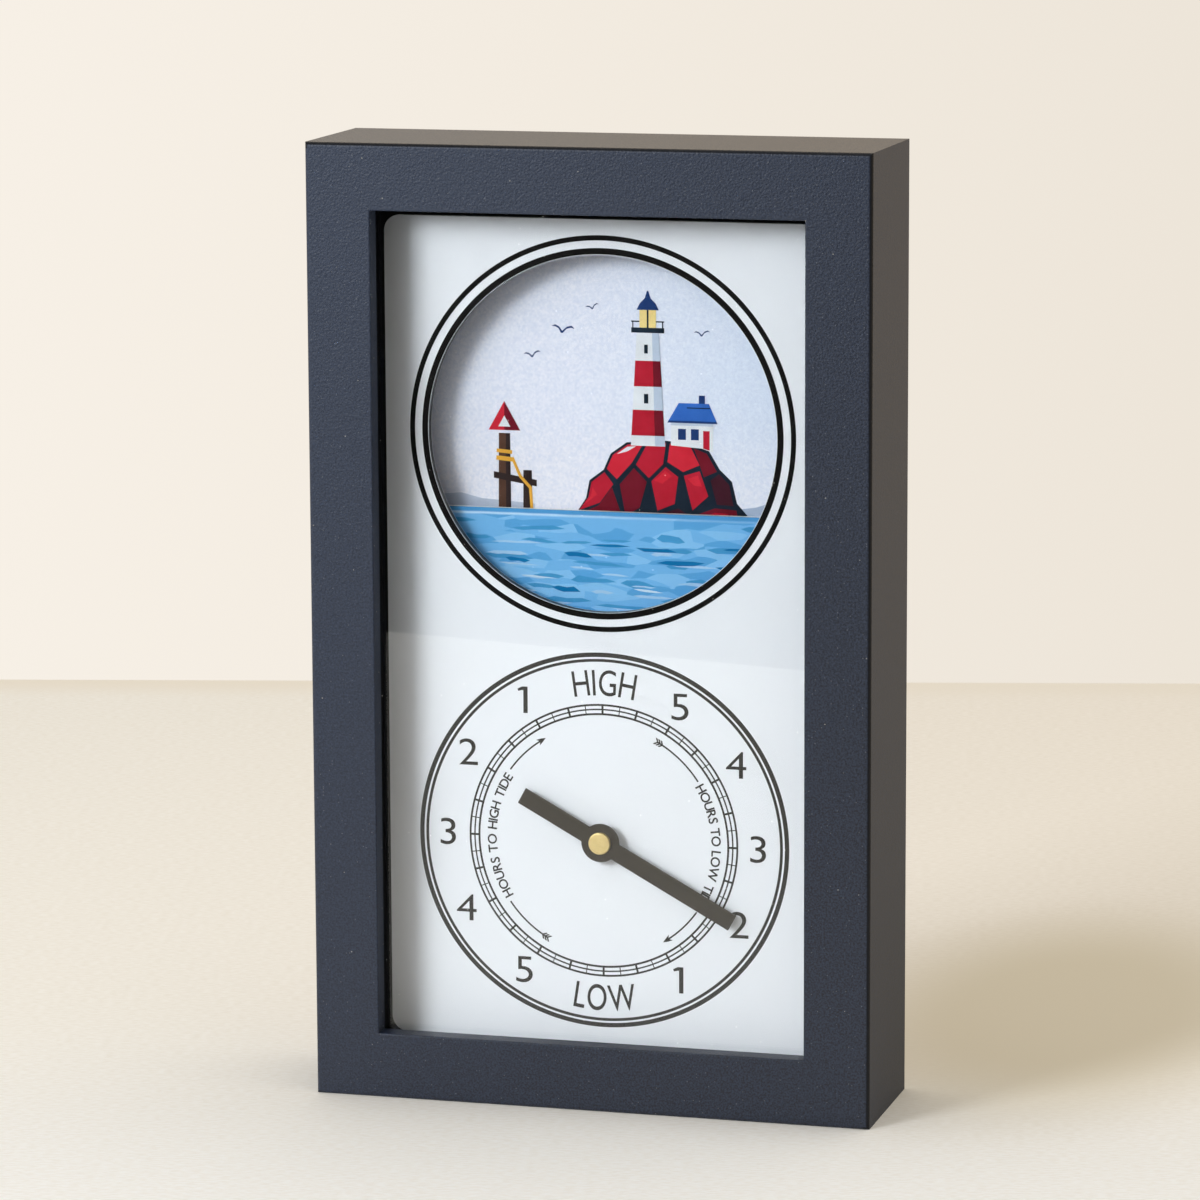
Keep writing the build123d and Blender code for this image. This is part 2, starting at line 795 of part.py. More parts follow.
def add_motor(nodes):
    left, low, right, high = stator_limits()
    coil_z = high - coil_core_width
    ring = magnet_radius + stator_air_gap + stator_ring
    plate = rectangle(left, right, low, low + stator_arm)
    plate += rectangle(left, left + stator_arm, low, high)
    plate += Pos(*rotor_place) * Circle(ring)
    plate += rectangle(left + stator_arm + coil_length, right, rotor_place[1], high)
    plate -= Pos(*rotor_place) * Circle(magnet_radius + stator_air_gap)
    nodes["stator"] = sheet(plate, stator_front, stator_back)

    core_left = left
    core_right = left + coil_length + 2 * stator_arm
    core_y = stator_front - stator_thickness
    half = coil_core_width / 2
    nodes["coil_core"] = block(core_left, core_right, core_y, stator_front, coil_z - half, coil_z + half)

    coil_left = left + stator_arm + coil_flange
    coil_right = left + stator_arm + coil_length - coil_flange
    middle_y = core_y + stator_thickness / 2
    tube = along_x(coil_core_radius, coil_left, coil_right, middle_y, coil_z)
    for low_x, high_x in ((coil_left - coil_flange, coil_left), (coil_right, coil_right + coil_flange)):
        tube += along_x(coil_radius, low_x, high_x, middle_y, coil_z)
    gap = running_gap
    tube -= block(
        core_left,
        core_right,
        core_y - gap,
        stator_front + gap,
        coil_z - half - gap,
        coil_z + half + gap,
    )
    nodes["coil_bobbin"] = tube
    winding = along_x(coil_radius - coil_flange / 2, coil_left, coil_right, middle_y, coil_z)
    nodes["coil_winding"] = winding - along_x(coil_core_radius, coil_left, coil_right, middle_y, coil_z)


def along_x(radius, low_x, high_x, y, z):
    """A round bar from left to right."""
    bar = Cylinder(radius, high_x - low_x, align=(Align.CENTER, Align.CENTER, Align.MIN))
    return Pos(low_x, y, z) * Rot(0, 90, 0) * bar


# Circuit board, contacts and cell


def add_circuit(nodes):
    half = contact_inner - contact_gap
    high = case_top() - contact_gap
    low = set_place[1] + set_shaft_radius + circuit_low_gap
    nodes["circuit_board"] = block(-half, half, circuit_front, circuit_back, low, high)
    chip_z = (low + high) / 2
    nodes["circuit_chip"] = rod(chip_radius, circuit_back, circuit_back + chip_height, -half / 2, chip_z)
    start = half / 2 - crystal_length / 2
    crystal = along_x(crystal_radius, start, start + crystal_length, circuit_back + crystal_radius, chip_z)
    nodes["quartz_crystal"] = crystal


def add_cell(nodes):
    nub_end = contact_inner - contact_gap
    body_right = nub_end - cell_nub_length
    body_left = body_right - cell_length
    body = along_x(cell_radius, body_left, body_right, cell_y, cell_z)
    body = fillet(body.edges().filter_by(GeomType.CIRCLE), cell_edge_radius)
    nodes["battery_cell"] = body + along_x(cell_nub_radius, body_right, nub_end, cell_y, cell_z)

    strip_front = cell_y - contact_width / 2
    strip_back = circuit_back
    strip_low = bay_low + contact_gap
    strip_high = case_top() - contact_gap
    right = block(contact_inner, case_inner, strip_front, strip_back, strip_low, strip_high)
    nodes["contact_positive"] = right
    left = block(-case_inner, -contact_inner, strip_front, strip_back, strip_low, strip_high)
    reach = body_left - contact_gap
    spring = Polyline(
        (-contact_inner, strip_low + contact_sheet),
        (reach, cell_z),
        (-contact_inner, bay_high - contact_sheet),
        (-contact_inner, bay_high - 3 * contact_sheet),
        (reach - 1.5 * contact_sheet, cell_z),
        (-contact_inner, strip_low + 3 * contact_sheet),
        close=True,
    )
    nodes["contact_negative"] = left + sheet(make_face(spring), strip_front, strip_front + contact_width)


# Back panel and hanger


def hanger_screw_places():
    x = hanger_length / 2 - hanger_end / 2
    return [(side * x, frame_height - hanger_drop) for side in sides]


def add_back(nodes):
    panel = block(-panel_half, panel_half, panel_front, panel_back, panel_low, panel_high)
    reach = movement_size / 2 + movement_opening_gap
    panel -= block(-reach, reach, panel_front, panel_back, arbor_z - reach, arbor_z + reach)
    for hole in panel_screw_holes():
        panel -= hole
    for x, z in hanger_screw_places():
        panel -= rod(hanger_screw_radius + push_gap, panel_front, panel_back, x, z)
    nodes["back_panel"] = panel
    nodes["back_panel_screws"] = Part() + panel_screws()


def add_hanger(nodes):
    """A toothed strip whose middle stands off the panel and whose ends lie on it."""
    half = hanger_length / 2
    inner = half - hanger_end
    raised = panel_back + hanger_raise
    z = frame_height - hanger_drop
    low = z - hanger_height / 2
    high = z + hanger_height / 2
    section = Polyline(
        (-half, panel_back),
        (-inner, panel_back),
        (-inner + hanger_raise, raised),
        (inner - hanger_raise, raised),
        (inner, panel_back),
        (half, panel_back),
        (half, panel_back + hanger_sheet),
        (inner, panel_back + hanger_sheet),
        (inner - hanger_raise, raised + hanger_sheet),
        (-inner + hanger_raise, raised + hanger_sheet),
        (-inner, panel_back + hanger_sheet),
        (-half, panel_back + hanger_sheet),
        close=True,
    )
    strip = Pos(0, 0, low) * extrude(make_face(section), amount=high - low)
    pitch = 2 * (inner - hanger_raise) / hanger_teeth
    for tooth in range(hanger_teeth):
        left = -inner + hanger_raise + tooth * pitch
        peak = (left + pitch / 2, low + hanger_tooth_depth)
        notch = Polyline((left, low), (left + pitch, low), peak, close=True)
        strip -= sheet(make_face(notch), panel_back, raised + hanger_sheet)
    screws = []
    head_front = panel_back + hanger_sheet
    for x, z in hanger_screw_places():
        strip -= rod(hanger_screw_radius + push_gap, panel_back, head_front, x, z)
        head = rod(hanger_screw_head_radius, head_front, head_front + hanger_screw_head, x, z)
        screws.append(rod(hanger_screw_radius, panel_front, head_front, x, z) + head)
    nodes["sawtooth_hanger"] = strip
    nodes["hanger_screws"] = Part() + screws


def build():
    nodes = {}
    for add in (
        add_frame,
        add_glazing,
        add_dial,
        add_rails,
        add_sea,
        add_scene,
        add_retainers,
        add_hand,
        add_arbor,
        add_train,
        add_case,
        add_motor,
        add_circuit,
        add_cell,
        add_back,
        add_hanger,
    ):
        add(nodes)
    return nodes


os.makedirs("parts", exist_ok=True)
for name, shape in build().items():
    export_step(shape, f"parts/{name}.step")
print("train places", reduction_place, intermediate_place, rotor_place, set_place)
print("sea card sinks", sea_fall, "and rises", sea_rise)
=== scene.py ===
import math
import random

import bmesh
import bpy
from mathutils import Euler, Matrix, Vector


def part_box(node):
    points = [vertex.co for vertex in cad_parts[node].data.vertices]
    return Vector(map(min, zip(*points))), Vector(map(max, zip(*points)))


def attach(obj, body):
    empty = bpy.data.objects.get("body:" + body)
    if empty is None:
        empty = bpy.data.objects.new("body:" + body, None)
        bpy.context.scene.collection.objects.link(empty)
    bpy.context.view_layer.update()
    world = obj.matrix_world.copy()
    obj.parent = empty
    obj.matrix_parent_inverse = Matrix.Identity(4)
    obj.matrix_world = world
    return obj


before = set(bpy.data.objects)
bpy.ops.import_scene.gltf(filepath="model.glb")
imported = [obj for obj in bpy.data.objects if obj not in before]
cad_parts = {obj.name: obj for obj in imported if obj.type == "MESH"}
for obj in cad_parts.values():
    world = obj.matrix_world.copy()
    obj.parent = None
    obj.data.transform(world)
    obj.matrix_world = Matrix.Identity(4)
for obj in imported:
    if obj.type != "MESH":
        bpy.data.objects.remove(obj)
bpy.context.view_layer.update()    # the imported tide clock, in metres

mm = 0.001
mergeReach = 0.000002
faceViewer = math.pi / 2    # tips a flat shape up to face the front


def only(*pieces):
    bpy.ops.object.select_all(action="DESELECT")
    for piece in pieces:
        piece.select_set(True)
    bpy.context.view_layer.objects.active = pieces[0]


def settle(piece):
    # puts the place into the mesh, so the object sits at the origin
    only(piece)
    bpy.ops.object.transform_apply(location=True, rotation=True, scale=True)
    return piece


def startEdit():
    bpy.ops.object.mode_set(mode="EDIT")
    bpy.ops.mesh.select_all(action="SELECT")


def modify(piece, kind, **settings):
    # adds one modifier and applies it
    only(piece)
    bpy.ops.object.modifier_add(type=kind)
    modifier = piece.modifiers[-1]
    for setting, value in settings.items():
        setattr(modifier, setting, value)
    bpy.ops.object.modifier_apply(modifier=modifier.name)


def makePiece(shapes, name, depth):
    # joins flat shapes, merges doubled points, turns every face to the front and gives the ink its thickness
    only(*shapes)
    if len(shapes) > 1:
        bpy.ops.object.join()
    piece = bpy.context.object
    piece.name = piece.data.name = name
    startEdit()
    bpy.ops.mesh.remove_doubles(threshold=mergeReach)
    bpy.ops.mesh.select_all(action="DESELECT")
    sheet = bmesh.from_edit_mesh(piece.data)
    for face in sheet.faces:
        face.select = face.normal.y > 0
    bmesh.update_edit_mesh(piece.data)
    bpy.ops.mesh.flip_normals()
    bpy.ops.object.mode_set(mode="OBJECT")
    modify(piece, "SOLIDIFY", thickness=depth, offset=1)
    return piece


def flatShape(points, front, material=None):
    # points are x, z in millimetres; the shape is drawn large, so its fill is exact
    outline = bpy.data.curves.new("outline", "CURVE")
    outline.dimensions = "2D"
    outline.fill_mode = "BOTH"
    line = outline.splines.new("POLY")
    line.points.add(len(points) - 1)
    for spot, (x, z) in zip(line.points, points):
        spot.co = (x, z, 0, 1)
    line.use_cyclic_u = True
    shape = bpy.data.objects.new("outline", outline)
    bpy.context.scene.collection.objects.link(shape)
    only(shape)
    bpy.ops.object.convert(target="MESH")
    shape = bpy.context.object
    shape.scale = (mm, mm, mm)
    shape.rotation_euler = (faceViewer, 0, 0)
    shape.location = (0, front, 0)
    settle(shape)
    if material:
        shape.data.materials.clear()
        shape.data.materials.append(material)
    return shape


view = {"place": (0.4533, -1.6438, 0.4545), "lens": 164.46, "sensor": 36,
        "tilt": 80.188, "turn": 15.514, "roll": -0.254}

bpy.ops.object.camera_add(location=view["place"])
camera = bpy.context.object
camera.name = "photoCamera"
camera.data.lens = view["lens"]
camera.data.sensor_width = view["sensor"]
aim = Euler((math.radians(view["tilt"]), 0, math.radians(view["turn"]))).to_matrix().to_4x4()
roll = Matrix.Rotation(math.radians(view["roll"]), 4, "Z")
camera.matrix_world = Matrix.Translation(view["place"]) @ aim @ roll
bpy.context.scene.camera = camera
bpy.context.scene.view_settings.view_transform = "Standard"


def tone(red, green, blue):
    # a colour picker's 0 to 255 values, made linear
    shares = [value / 255 for value in (red, green, blue)]
    return tuple(s / 12.92 if s <= 0.04045 else ((s + 0.055) / 1.055) ** 2.4 for s in shares) + (1,)


def put(tree, kind, values=None, **options):
    # adds a node; each value is set on its socket, or linked to it if the value is itself a socket
    node = tree.nodes.new("ShaderNode" + kind)
    for option, choice in options.items():
        setattr(node, option, choice)
    for socket, value in (values or {}).items():
        if isinstance(value, bpy.types.NodeSocket):
            tree.links.new(value, node.inputs[socket])
        else:
            node.inputs[socket].default_value = value
    return node


def blend(tree, share, first, second):
    return put(tree, "Mix", {0: share, 6: first, 7: second}, data_type="RGBA").outputs[2]


def reach(tree, value, low, high, toLow=0, toHigh=1, soft=False):
    # low to high become toLow to toHigh, evenly or with a soft start and end
    return put(tree, "MapRange",
               {"Value": value, "From Min": low, "From Max": high, "To Min": toLow, "To Max": toHigh},
               interpolation_type="SMOOTHSTEP" if soft else "LINEAR").outputs["Result"]


def work(tree, operation, *values, **options):
    return put(tree, "Math", dict(enumerate(values)), operation=operation, **options).outputs[0]


def ramp(tree, value, limits, first, second, soft=False):
    # from the first tone to the second while the value goes from limit to limit
    return blend(tree, reach(tree, value, *limits, soft=soft), first, second)


def choose(tree, value, limit, below, above):
    return blend(tree, work(tree, "GREATER_THAN", value, limit), below, above)


def tint(tree, colour, mask, share, second):
    # lays a second tone over the colour, as strong as the mask times its share
    return blend(tree, work(tree, "MULTIPLY", mask, share), colour, second)


def warp(tree, operation, first, second, output="Vector"):
    return put(tree, "VectorMath", {0: first, 1: second}, operation=operation).outputs[output]


def split(tree, vector):
    return put(tree, "SeparateXYZ", {0: vector}).outputs


def splitNormal(tree):
    return split(tree, put(tree, "NewGeometry").outputs["True Normal"])


finishes = {}


def newFinish(name, roughness=0.5, metallic=0, specular=0.5):
    material = finishes[name] = bpy.data.materials.new(name)
    material.use_nodes = True
    tree = material.node_tree
    shader = tree.nodes["Principled BSDF"]
    shader.inputs["Roughness"].default_value = roughness
    shader.inputs["Metallic"].default_value = metallic
    shader.inputs["Specular IOR Level"].default_value = specular
    return tree, shader, put(tree, "TexCoord").outputs["Object"]


def addBump(tree, shader, height, strength, distance):
    bump = put(tree, "Bump", {"Strength": strength, "Distance": distance, "Height": height})
    tree.links.new(bump.outputs["Normal"], shader.inputs["Normal"])


studio = {
    "wallLeft": tone(247, 240, 230), "wallRight": tone(237, 229, 217), "wallTurn": (-0.37, -0.16),
    "mirrorLeft": (1.25, 1.08, 0.83, 1), "mirrorRight": (1.06, 0.84, 0.57, 1),
    "mirrorTurn": (-0.33, -0.18),
    "frontDark": (0.01, 0.01, 0.01, 1), "frontHigh": (0.57, 0.51, 0.41, 1), "frontRise": (0.02, 0.5),
    "backTurn": (-0.35, 0), "zenith": (0.55, 0.85), "ambient": (0.54, 0.5, 0.43, 1),
}

lamps = {
    "keyLamp": {"place": (-0.91, -1.52, 0.8), "aim": (0, 0, 0.15), "size": (0.52, 0.52), "power": 15.3,
                "colour": (0.955, 1, 1.05)},
    "topLamp": {"place": (0.05, 0.4, 1.9), "aim": (0, 0.3, 0), "size": (2, 1.8), "power": 11.5,
                "colour": (1, 0.99, 0.96)},
}


def addLamps():
    for name, lamp in lamps.items():
        bpy.ops.object.light_add(type="AREA", location=lamp["place"])
        light = bpy.context.object
        light.name = name
        light.data.shape = "RECTANGLE"
        light.data.size, light.data.size_y = lamp["size"]
        light.data.energy = lamp["power"]
        light.data.color = lamp["colour"]
        path = Vector(lamp["aim"]) - Vector(lamp["place"])
        light.rotation_euler = path.to_track_quat("-Z", "Y").to_euler()


def paintWorld():
    # the wall as the camera sees it, the room as shiny faces mirror it, and a plain ambient for the rest
    world = bpy.data.worlds.new("studioWall")
    bpy.context.scene.world = world
    world.use_nodes = True
    tree = world.node_tree
    ways = split(tree, put(tree, "TexCoord").outputs["Generated"])
    path = put(tree, "LightPath").outputs
    wall = ramp(tree, ways["X"], studio["wallTurn"], studio["wallLeft"], studio["wallRight"])
    high = ramp(tree, ways["Z"], studio["frontRise"], studio["frontDark"], studio["frontHigh"], True)
    back = ramp(tree, ways["X"], studio["mirrorTurn"], studio["mirrorLeft"], studio["mirrorRight"])
    mirrored = ramp(tree, ways["Y"], studio["backTurn"], high, back, True)
    mirrored = ramp(tree, ways["Z"], studio["zenith"], mirrored, studio["frontDark"], True)
    seen = blend(tree, path["Is Glossy Ray"], wall, mirrored)
    direct = work(tree, "MAXIMUM", path["Is Glossy Ray"], path["Is Transmission Ray"])
    direct = work(tree, "MAXIMUM", path["Is Camera Ray"], direct)
    tree.links.new(blend(tree, direct, studio["ambient"], seen), tree.nodes["Background"].inputs["Color"])


paper = {
    "turn": 13.1, "back": 0.7116, "front": -0.7288, "wide": 4, "thick": 0.02,
    "round": 0.004, "roundSteps": 4,
    "left": tone(254, 252, 248), "right": tone(252, 246, 238), "across": (-0.35, 0.3),
    "near": tone(255, 255, 255), "nearReach": (0.12, -0.12),
    "edge": tone(214, 212, 208), "edgeReach": (-0.16, -0.45),
    # shade: a warm painted shadow of the clock on the floor, to the right of it
    "shade": tone(224, 215, 195), "shadePlace": (0.24, 0.14, 0), "shadeSqueeze": (1.97, 1, 1),
    "shadeReach": (0.192, 0.065),
    "fibre": tone(222, 212, 196), "fibreStretch": (0.35, 1, 1), "fibreScale": 900, "fibreDetail": 4,
    "fibreReach": (0.4, 0.6, 0, 0.2),
    "far": tone(247, 240, 229), "farReach": (0.66, 0.705),
    "roughness": 0.85, "specular": 0.25, "bump": (0.2, 0.0001),
}


def paperFinish(turn):
    tree, shader, place = newFinish("floorPaper", paper["roughness"], specular=paper["specular"])
    turned = put(tree, "Mapping", {"Vector": place, "Rotation": (0, 0, -turn)}).outputs["Vector"]
    ways = split(tree, turned)
    fibres = put(tree, "TexNoise", {"Vector": warp(tree, "MULTIPLY", turned, paper["fibreStretch"]),
                                    "Scale": paper["fibreScale"], "Detail": paper["fibreDetail"]})
    squeezed = warp(tree, "MULTIPLY", place, paper["shadeSqueeze"])
    away = warp(tree, "DISTANCE", squeezed, paper["shadePlace"], "Value")
    # painted shade: the paper is coloured warmer and a little darker towards the right, for the dimmer,
    # warmer light on that side
    colour = ramp(tree, ways["X"], paper["across"], paper["left"], paper["right"], True)
    # painted light: whiter just in front of the clock, then darker towards the front edge; painted shadow:
    # the warm shade to the right of the clock
    for value, name in ((ways["Y"], "near"), (ways["Y"], "edge"), (away, "shade")):
        colour = ramp(tree, value, paper[name + "Reach"], colour, paper[name], True)
    colour = ramp(tree, fibres.outputs["Fac"], paper["fibreReach"], colour, paper["fibre"])
    colour = ramp(tree, ways["Y"], paper["farReach"], colour, paper["far"], True)
    tree.links.new(colour, shader.inputs["Base Color"])
    addBump(tree, shader, fibres.outputs["Fac"], *paper["bump"])


def addFloor():
    turn = math.radians(paper["turn"])
    middle = (paper["back"] + paper["front"]) / 2
    bpy.ops.mesh.primitive_plane_add(size=1)
    floor = bpy.context.object
    floor.name = "studioFloor"
    floor.scale = (paper["wide"], paper["back"] - paper["front"], 1)
    floor.rotation_euler = (0, 0, turn)
    floor.location = (-middle * math.sin(turn), middle * math.cos(turn), 0)
    settle(floor)
    modify(floor, "SOLIDIFY", thickness=paper["thick"], offset=-1)
    modify(floor, "BEVEL", width=paper["round"], segments=paper["roundSteps"])
    paperFinish(turn)
    floor.data.materials.append(finishes["floorPaper"])


addLamps()
paintWorld()
addFloor()
print("camera, floor and light are set")


def makeGroup(name, build, output="Mask", **inputs):
    # wraps an effect as a node group: a place, its own inputs, and one value out
    group = bpy.data.node_groups.new(name, "ShaderNodeTree")
    group.interface.new_socket(name="Place", in_out="INPUT", socket_type="NodeSocketVector")
    for label, value in inputs.items():
        kind = "NodeSocketVector" if isinstance(value, tuple) else "NodeSocketFloat"
        group.interface.new_socket(name=label, in_out="INPUT", socket_type=kind).default_value = value
    group.interface.new_socket(name=output, in_out="OUTPUT", socket_type="NodeSocketFloat")
    result = build(group, group.nodes.new("NodeGroupInput").outputs)
    group.links.new(result, group.nodes.new("NodeGroupOutput").inputs[output])
    return group


def addNoise(group, place, given, **settings):
    return put(group, "TexNoise", {"Vector": place, "Scale": given["Scale"], **settings}).outputs["Fac"]


def addContrast(group, value, given):
    centred = work(group, "SUBTRACT", value, 0.5)
    return work(group, "MULTIPLY_ADD", centred, given["Contrast"], 0.5, use_clamp=True)


def makeMottle(group, given):
    # soft patches of tone: 0.5 on average, stronger with more contrast
    return addContrast(group, addNoise(group, given["Place"], given, Detail=5, Roughness=0.6), given)


def makePeel(group, given):
    # the fine lumpy skin of sprayed paint or moulded plastic
    noise = addNoise(group, given["Place"], given, Detail=3, Roughness=0.55)
    cells = put(group, "TexVoronoi", {"Vector": given["Place"], "Scale": given["Scale"]},
                feature="SMOOTH_F1")
    return put(group, "Mix", {0: given["Cells"], 2: noise, 3: cells.outputs["Distance"]}).outputs[0]


def makeSpecks(group, given):
    # small scattered dots, in the given share of the cells
    cells = put(group, "TexVoronoi", {"Vector": given["Place"], "Scale": given["Scale"]}).outputs
    lot = put(group, "SeparateColor", {0: cells["Color"]}).outputs
    return work(group, "MULTIPLY", work(group, "LESS_THAN", lot[0], given["Share"]),
                work(group, "LESS_THAN", cells["Distance"], given["Size"]))


def makeLines(group, given):
    # drawn-out streaks along one way, for brushing, grain and fibres
    drawn = warp(group, "MULTIPLY", given["Place"], given["Stretch"])
    return addContrast(group, addNoise(group, drawn, given, Detail=4, Roughness=0.65), given)


corner = {"edge": (0.995, 0.85), "broken": (0.45, 0.65)}


def makeRub(group, given):
    # where handling has rubbed the corners, broken up by noise
    rounded = put(group, "Bevel", {"Radius": given["Reach"]}, samples=4).outputs["Normal"]
    flat = put(group, "NewGeometry").outputs["Normal"]
    edge = reach(group, warp(group, "DOT_PRODUCT", rounded, flat, "Value"), *corner["edge"])
    broken = reach(group, addNoise(group, given["Place"], given, Detail=3), *corner["broken"])
    return work(group, "MULTIPLY", work(group, "MULTIPLY", edge, broken), given["Amount"])


groups = {
    "mottle": makeGroup("toneMottle", makeMottle, Scale=60, Contrast=1.5),
    "peel": makeGroup("surfacePeel", makePeel, "Height", Scale=1500, Cells=0.4),
    "specks": makeGroup("dustSpecks", makeSpecks, Scale=700, Share=0.05, Size=0.12),
    "lines": makeGroup("grainLines", makeLines, Stretch=(1, 1, 1), Scale=400, Contrast=2.2),
    "rub": makeGroup("edgeRub", makeRub, Reach=0.0004, Scale=400, Amount=0.5),
}


def effect(tree, name, place, **values):
    node = put(tree, "Group", node_tree=groups[name])
    tree.links.new(place, node.inputs["Place"])
    for label, value in values.items():
        node.inputs[label].default_value = value
    return node.outputs[0]


def overlay(tree, place, colour, over, kind="mottle", share=1, **values):
    # lays one effect over the colour in a tone of its own, and gives back the effect too
    mask = effect(tree, kind, place, **values)
    return tint(tree, colour, mask, share, tone(*over)), mask


def closeFinish(tree, shader, colour, mask, height, settings):
    tree.links.new(colour, shader.inputs["Base Color"])
    tree.links.new(reach(tree, mask, 0, 1, *settings["roughness"]), shader.inputs["Roughness"])
    addBump(tree, shader, height, *settings["bump"])


def commonFinish(name, dark, light, patches=(), skin=(), streaks=None, specks=None, rub=None,
                 roughness=(0.4, 0.55), bump=(0.3, 0.00004), **surface):
    # two tones in soft patches and a fine skin, with streaks, specks and rubbed corners if asked for
    tree, shader, place = newFinish(name, **surface)
    mask = effect(tree, "mottle", place, **dict(patches))
    colour = blend(tree, mask, tone(*dark), tone(*light))
    height = effect(tree, "peel", place, **dict(skin))
    if streaks:
        colour, drawn = overlay(tree, place, colour, kind="lines", **streaks)
        height = work(tree, "ADD", height, drawn)
    for kind, values in (("specks", specks), ("rub", rub)):
        if values:
            colour = overlay(tree, place, colour, kind=kind, **values)[0]
    closeFinish(tree, shader, colour, mask, height, {"roughness": roughness, "bump": bump})


paint = {
    "specular": 0.57, "arrisSpecular": 0.28, "low": tone(0, 6, 26), "high": tone(29, 43, 67),
    "paintedLightRise": (0, 0.38),
    "patches": {"over": (40, 52, 76), "share": 0.08, "Scale": 22, "Contrast": 1.2},
    "grain": {"over": (53, 68, 96), "share": 0.46, "Scale": 1700, "Contrast": 4.6},
    "fine": {"kind": "specks", "over": (120, 124, 132), "share": 0.45, "Scale": 1000, "Share": 0.12,
             "Size": 0.18},
    "dots": {"kind": "specks", "over": (168, 168, 166), "share": 0.65, "Scale": 460, "Share": 0.025,
             "Size": 0.1},
    "arrisShade": tone(10, 14, 24), "arrisReach": (0.01, 0.1), "arrisRight": 0.0885, "arrisTop": 0.3028,
    "roughness": (0.42, 0.5), "sideRoughness": 0.18,
    "skin": {"Scale": 1450, "Cells": 0.35}, "lumps": {"Scale": 380, "Contrast": 1.2},
    "lumpShare": 0.3, "bump": (1, 0.00018),
}


def paintFinish():
    # sprayed satin navy: close tones, a pebbly skin, pale dust caught in the lacquer
    tree, shader, place = newFinish("navySpray")
    ways, turned = split(tree, place), splitNormal(tree)
    # painted light: the navy is coloured lighter towards the upper left, where the lamp falls, and darker
    # towards the lower right
    paintedLightSlope = work(tree, "SUBTRACT", ways["Z"], ways["X"])
    colour = ramp(tree, paintedLightSlope, paint["paintedLightRise"], paint["low"], paint["high"])
    colour = overlay(tree, place, colour, **paint["patches"])[0]
    colour, grain = overlay(tree, place, colour, **paint["grain"])
    colour = overlay(tree, place, colour, **paint["fine"])[0]
    colour = overlay(tree, place, colour, **paint["dots"])[0]
    # painted shade: the rounded outer corners on the right and the top are painted dark, with less shine, as
    # they look dark from the front
    facing = work(tree, "ABSOLUTE", turned["Y"])
    slope = work(tree, "MULTIPLY", facing, work(tree, "SUBTRACT", 1, facing))
    outer = work(tree, "MAXIMUM", work(tree, "GREATER_THAN", ways["X"], paint["arrisRight"]),
                 work(tree, "GREATER_THAN", ways["Z"], paint["arrisTop"]))
    arrisShade = work(tree, "MULTIPLY", reach(tree, slope, *paint["arrisReach"]), outer)
    colour = blend(tree, arrisShade, colour, paint["arrisShade"])
    shine = reach(tree, arrisShade, 0, 1, paint["specular"], paint["arrisSpecular"])
    tree.links.new(shine, shader.inputs["Specular IOR Level"])
    tree.links.new(colour, shader.inputs["Base Color"])
    dull = work(tree, "MULTIPLY_ADD", work(tree, "ABSOLUTE", turned["X"]), paint["sideRoughness"],
                reach(tree, grain, 0, 1, *paint["roughness"]))
    tree.links.new(dull, shader.inputs["Roughness"])
    height = work(tree, "MULTIPLY_ADD", effect(tree, "mottle", place, **paint["lumps"]),
                  paint["lumpShare"], effect(tree, "peel", place, **paint["skin"]))
    addBump(tree, shader, height, *paint["bump"])


pane = {
    "tone": (0.985, 0.995, 0.99, 1), "shadowTone": (0.96, 0.97, 0.965, 1), "index": 1.5,
    "waves": {"Scale": 9, "Contrast": 1}, "bump": (0.05, 0.00002),
    "dust": {"Scale": 260, "Share": 0.14, "Size": 0.055}, "dustGlow": (0.3, 0.29, 0.27, 1),
}


def glassFinish():
    # clear pane; light for shadows passes straight through it
    tree, shader, place = newFinish("clearPane", roughness=0)
    shader.inputs["Base Color"].default_value = pane["tone"]
    shader.inputs["Transmission Weight"].default_value = 1
    shader.inputs["IOR"].default_value = pane["index"]
    addBump(tree, shader, effect(tree, "mottle", place, **pane["waves"]), *pane["bump"])
    # the dust specks on the pane are real, but they are given a faint glow: painted light, not lit by the
    # lamps
    paintedGlow = blend(tree, effect(tree, "specks", place, **pane["dust"]), (0, 0, 0, 1), pane["dustGlow"])
    tree.links.new(paintedGlow, shader.inputs["Emission Color"])
    shader.inputs["Emission Strength"].default_value = 1
    clear = put(tree, "BsdfTransparent", {"Color": pane["shadowTone"]})
    path = put(tree, "LightPath")
    mixed = put(tree, "MixShader", {0: path.outputs["Is Shadow Ray"],
                                    1: shader.outputs[0], 2: clear.outputs[0]})
    tree.links.new(mixed.outputs[0], tree.nodes["Material Output"].inputs["Surface"])


plate = {
    "face": tone(238, 240, 245), "faceDim": tone(235, 237, 243), "core": tone(20, 19, 18),
    "skinTone": tone(205, 210, 216), "skin": 0.3, "patches": {"Scale": 14, "Contrast": 1},
    "specular": 0.4, "roughness": (0.34, 0.44), "peel": {"Scale": 2600, "Cells": 0.2},
    "bump": (0.12, 0.00002),
}


def plateFinish():
    # satin face of a composite sheet, with its dark core and thin skins seen at the cut edge
    tree, shader, place = newFinish("dialSheet", specular=plate["specular"])
    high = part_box("dial_plate")[1]
    patches = effect(tree, "mottle", place, **plate["patches"])
    face = blend(tree, patches, plate["faceDim"], plate["face"])
    inside = work(tree, "LESS_THAN", split(tree, place)["Y"], high.y - plate["skin"] * mm)
    edge = blend(tree, inside, plate["skinTone"], plate["core"])
    colour = choose(tree, work(tree, "ABSOLUTE", splitNormal(tree)["Y"]), 0.5, edge, face)
    closeFinish(tree, shader, colour, patches, effect(tree, "peel", place, **plate["peel"]), plate)


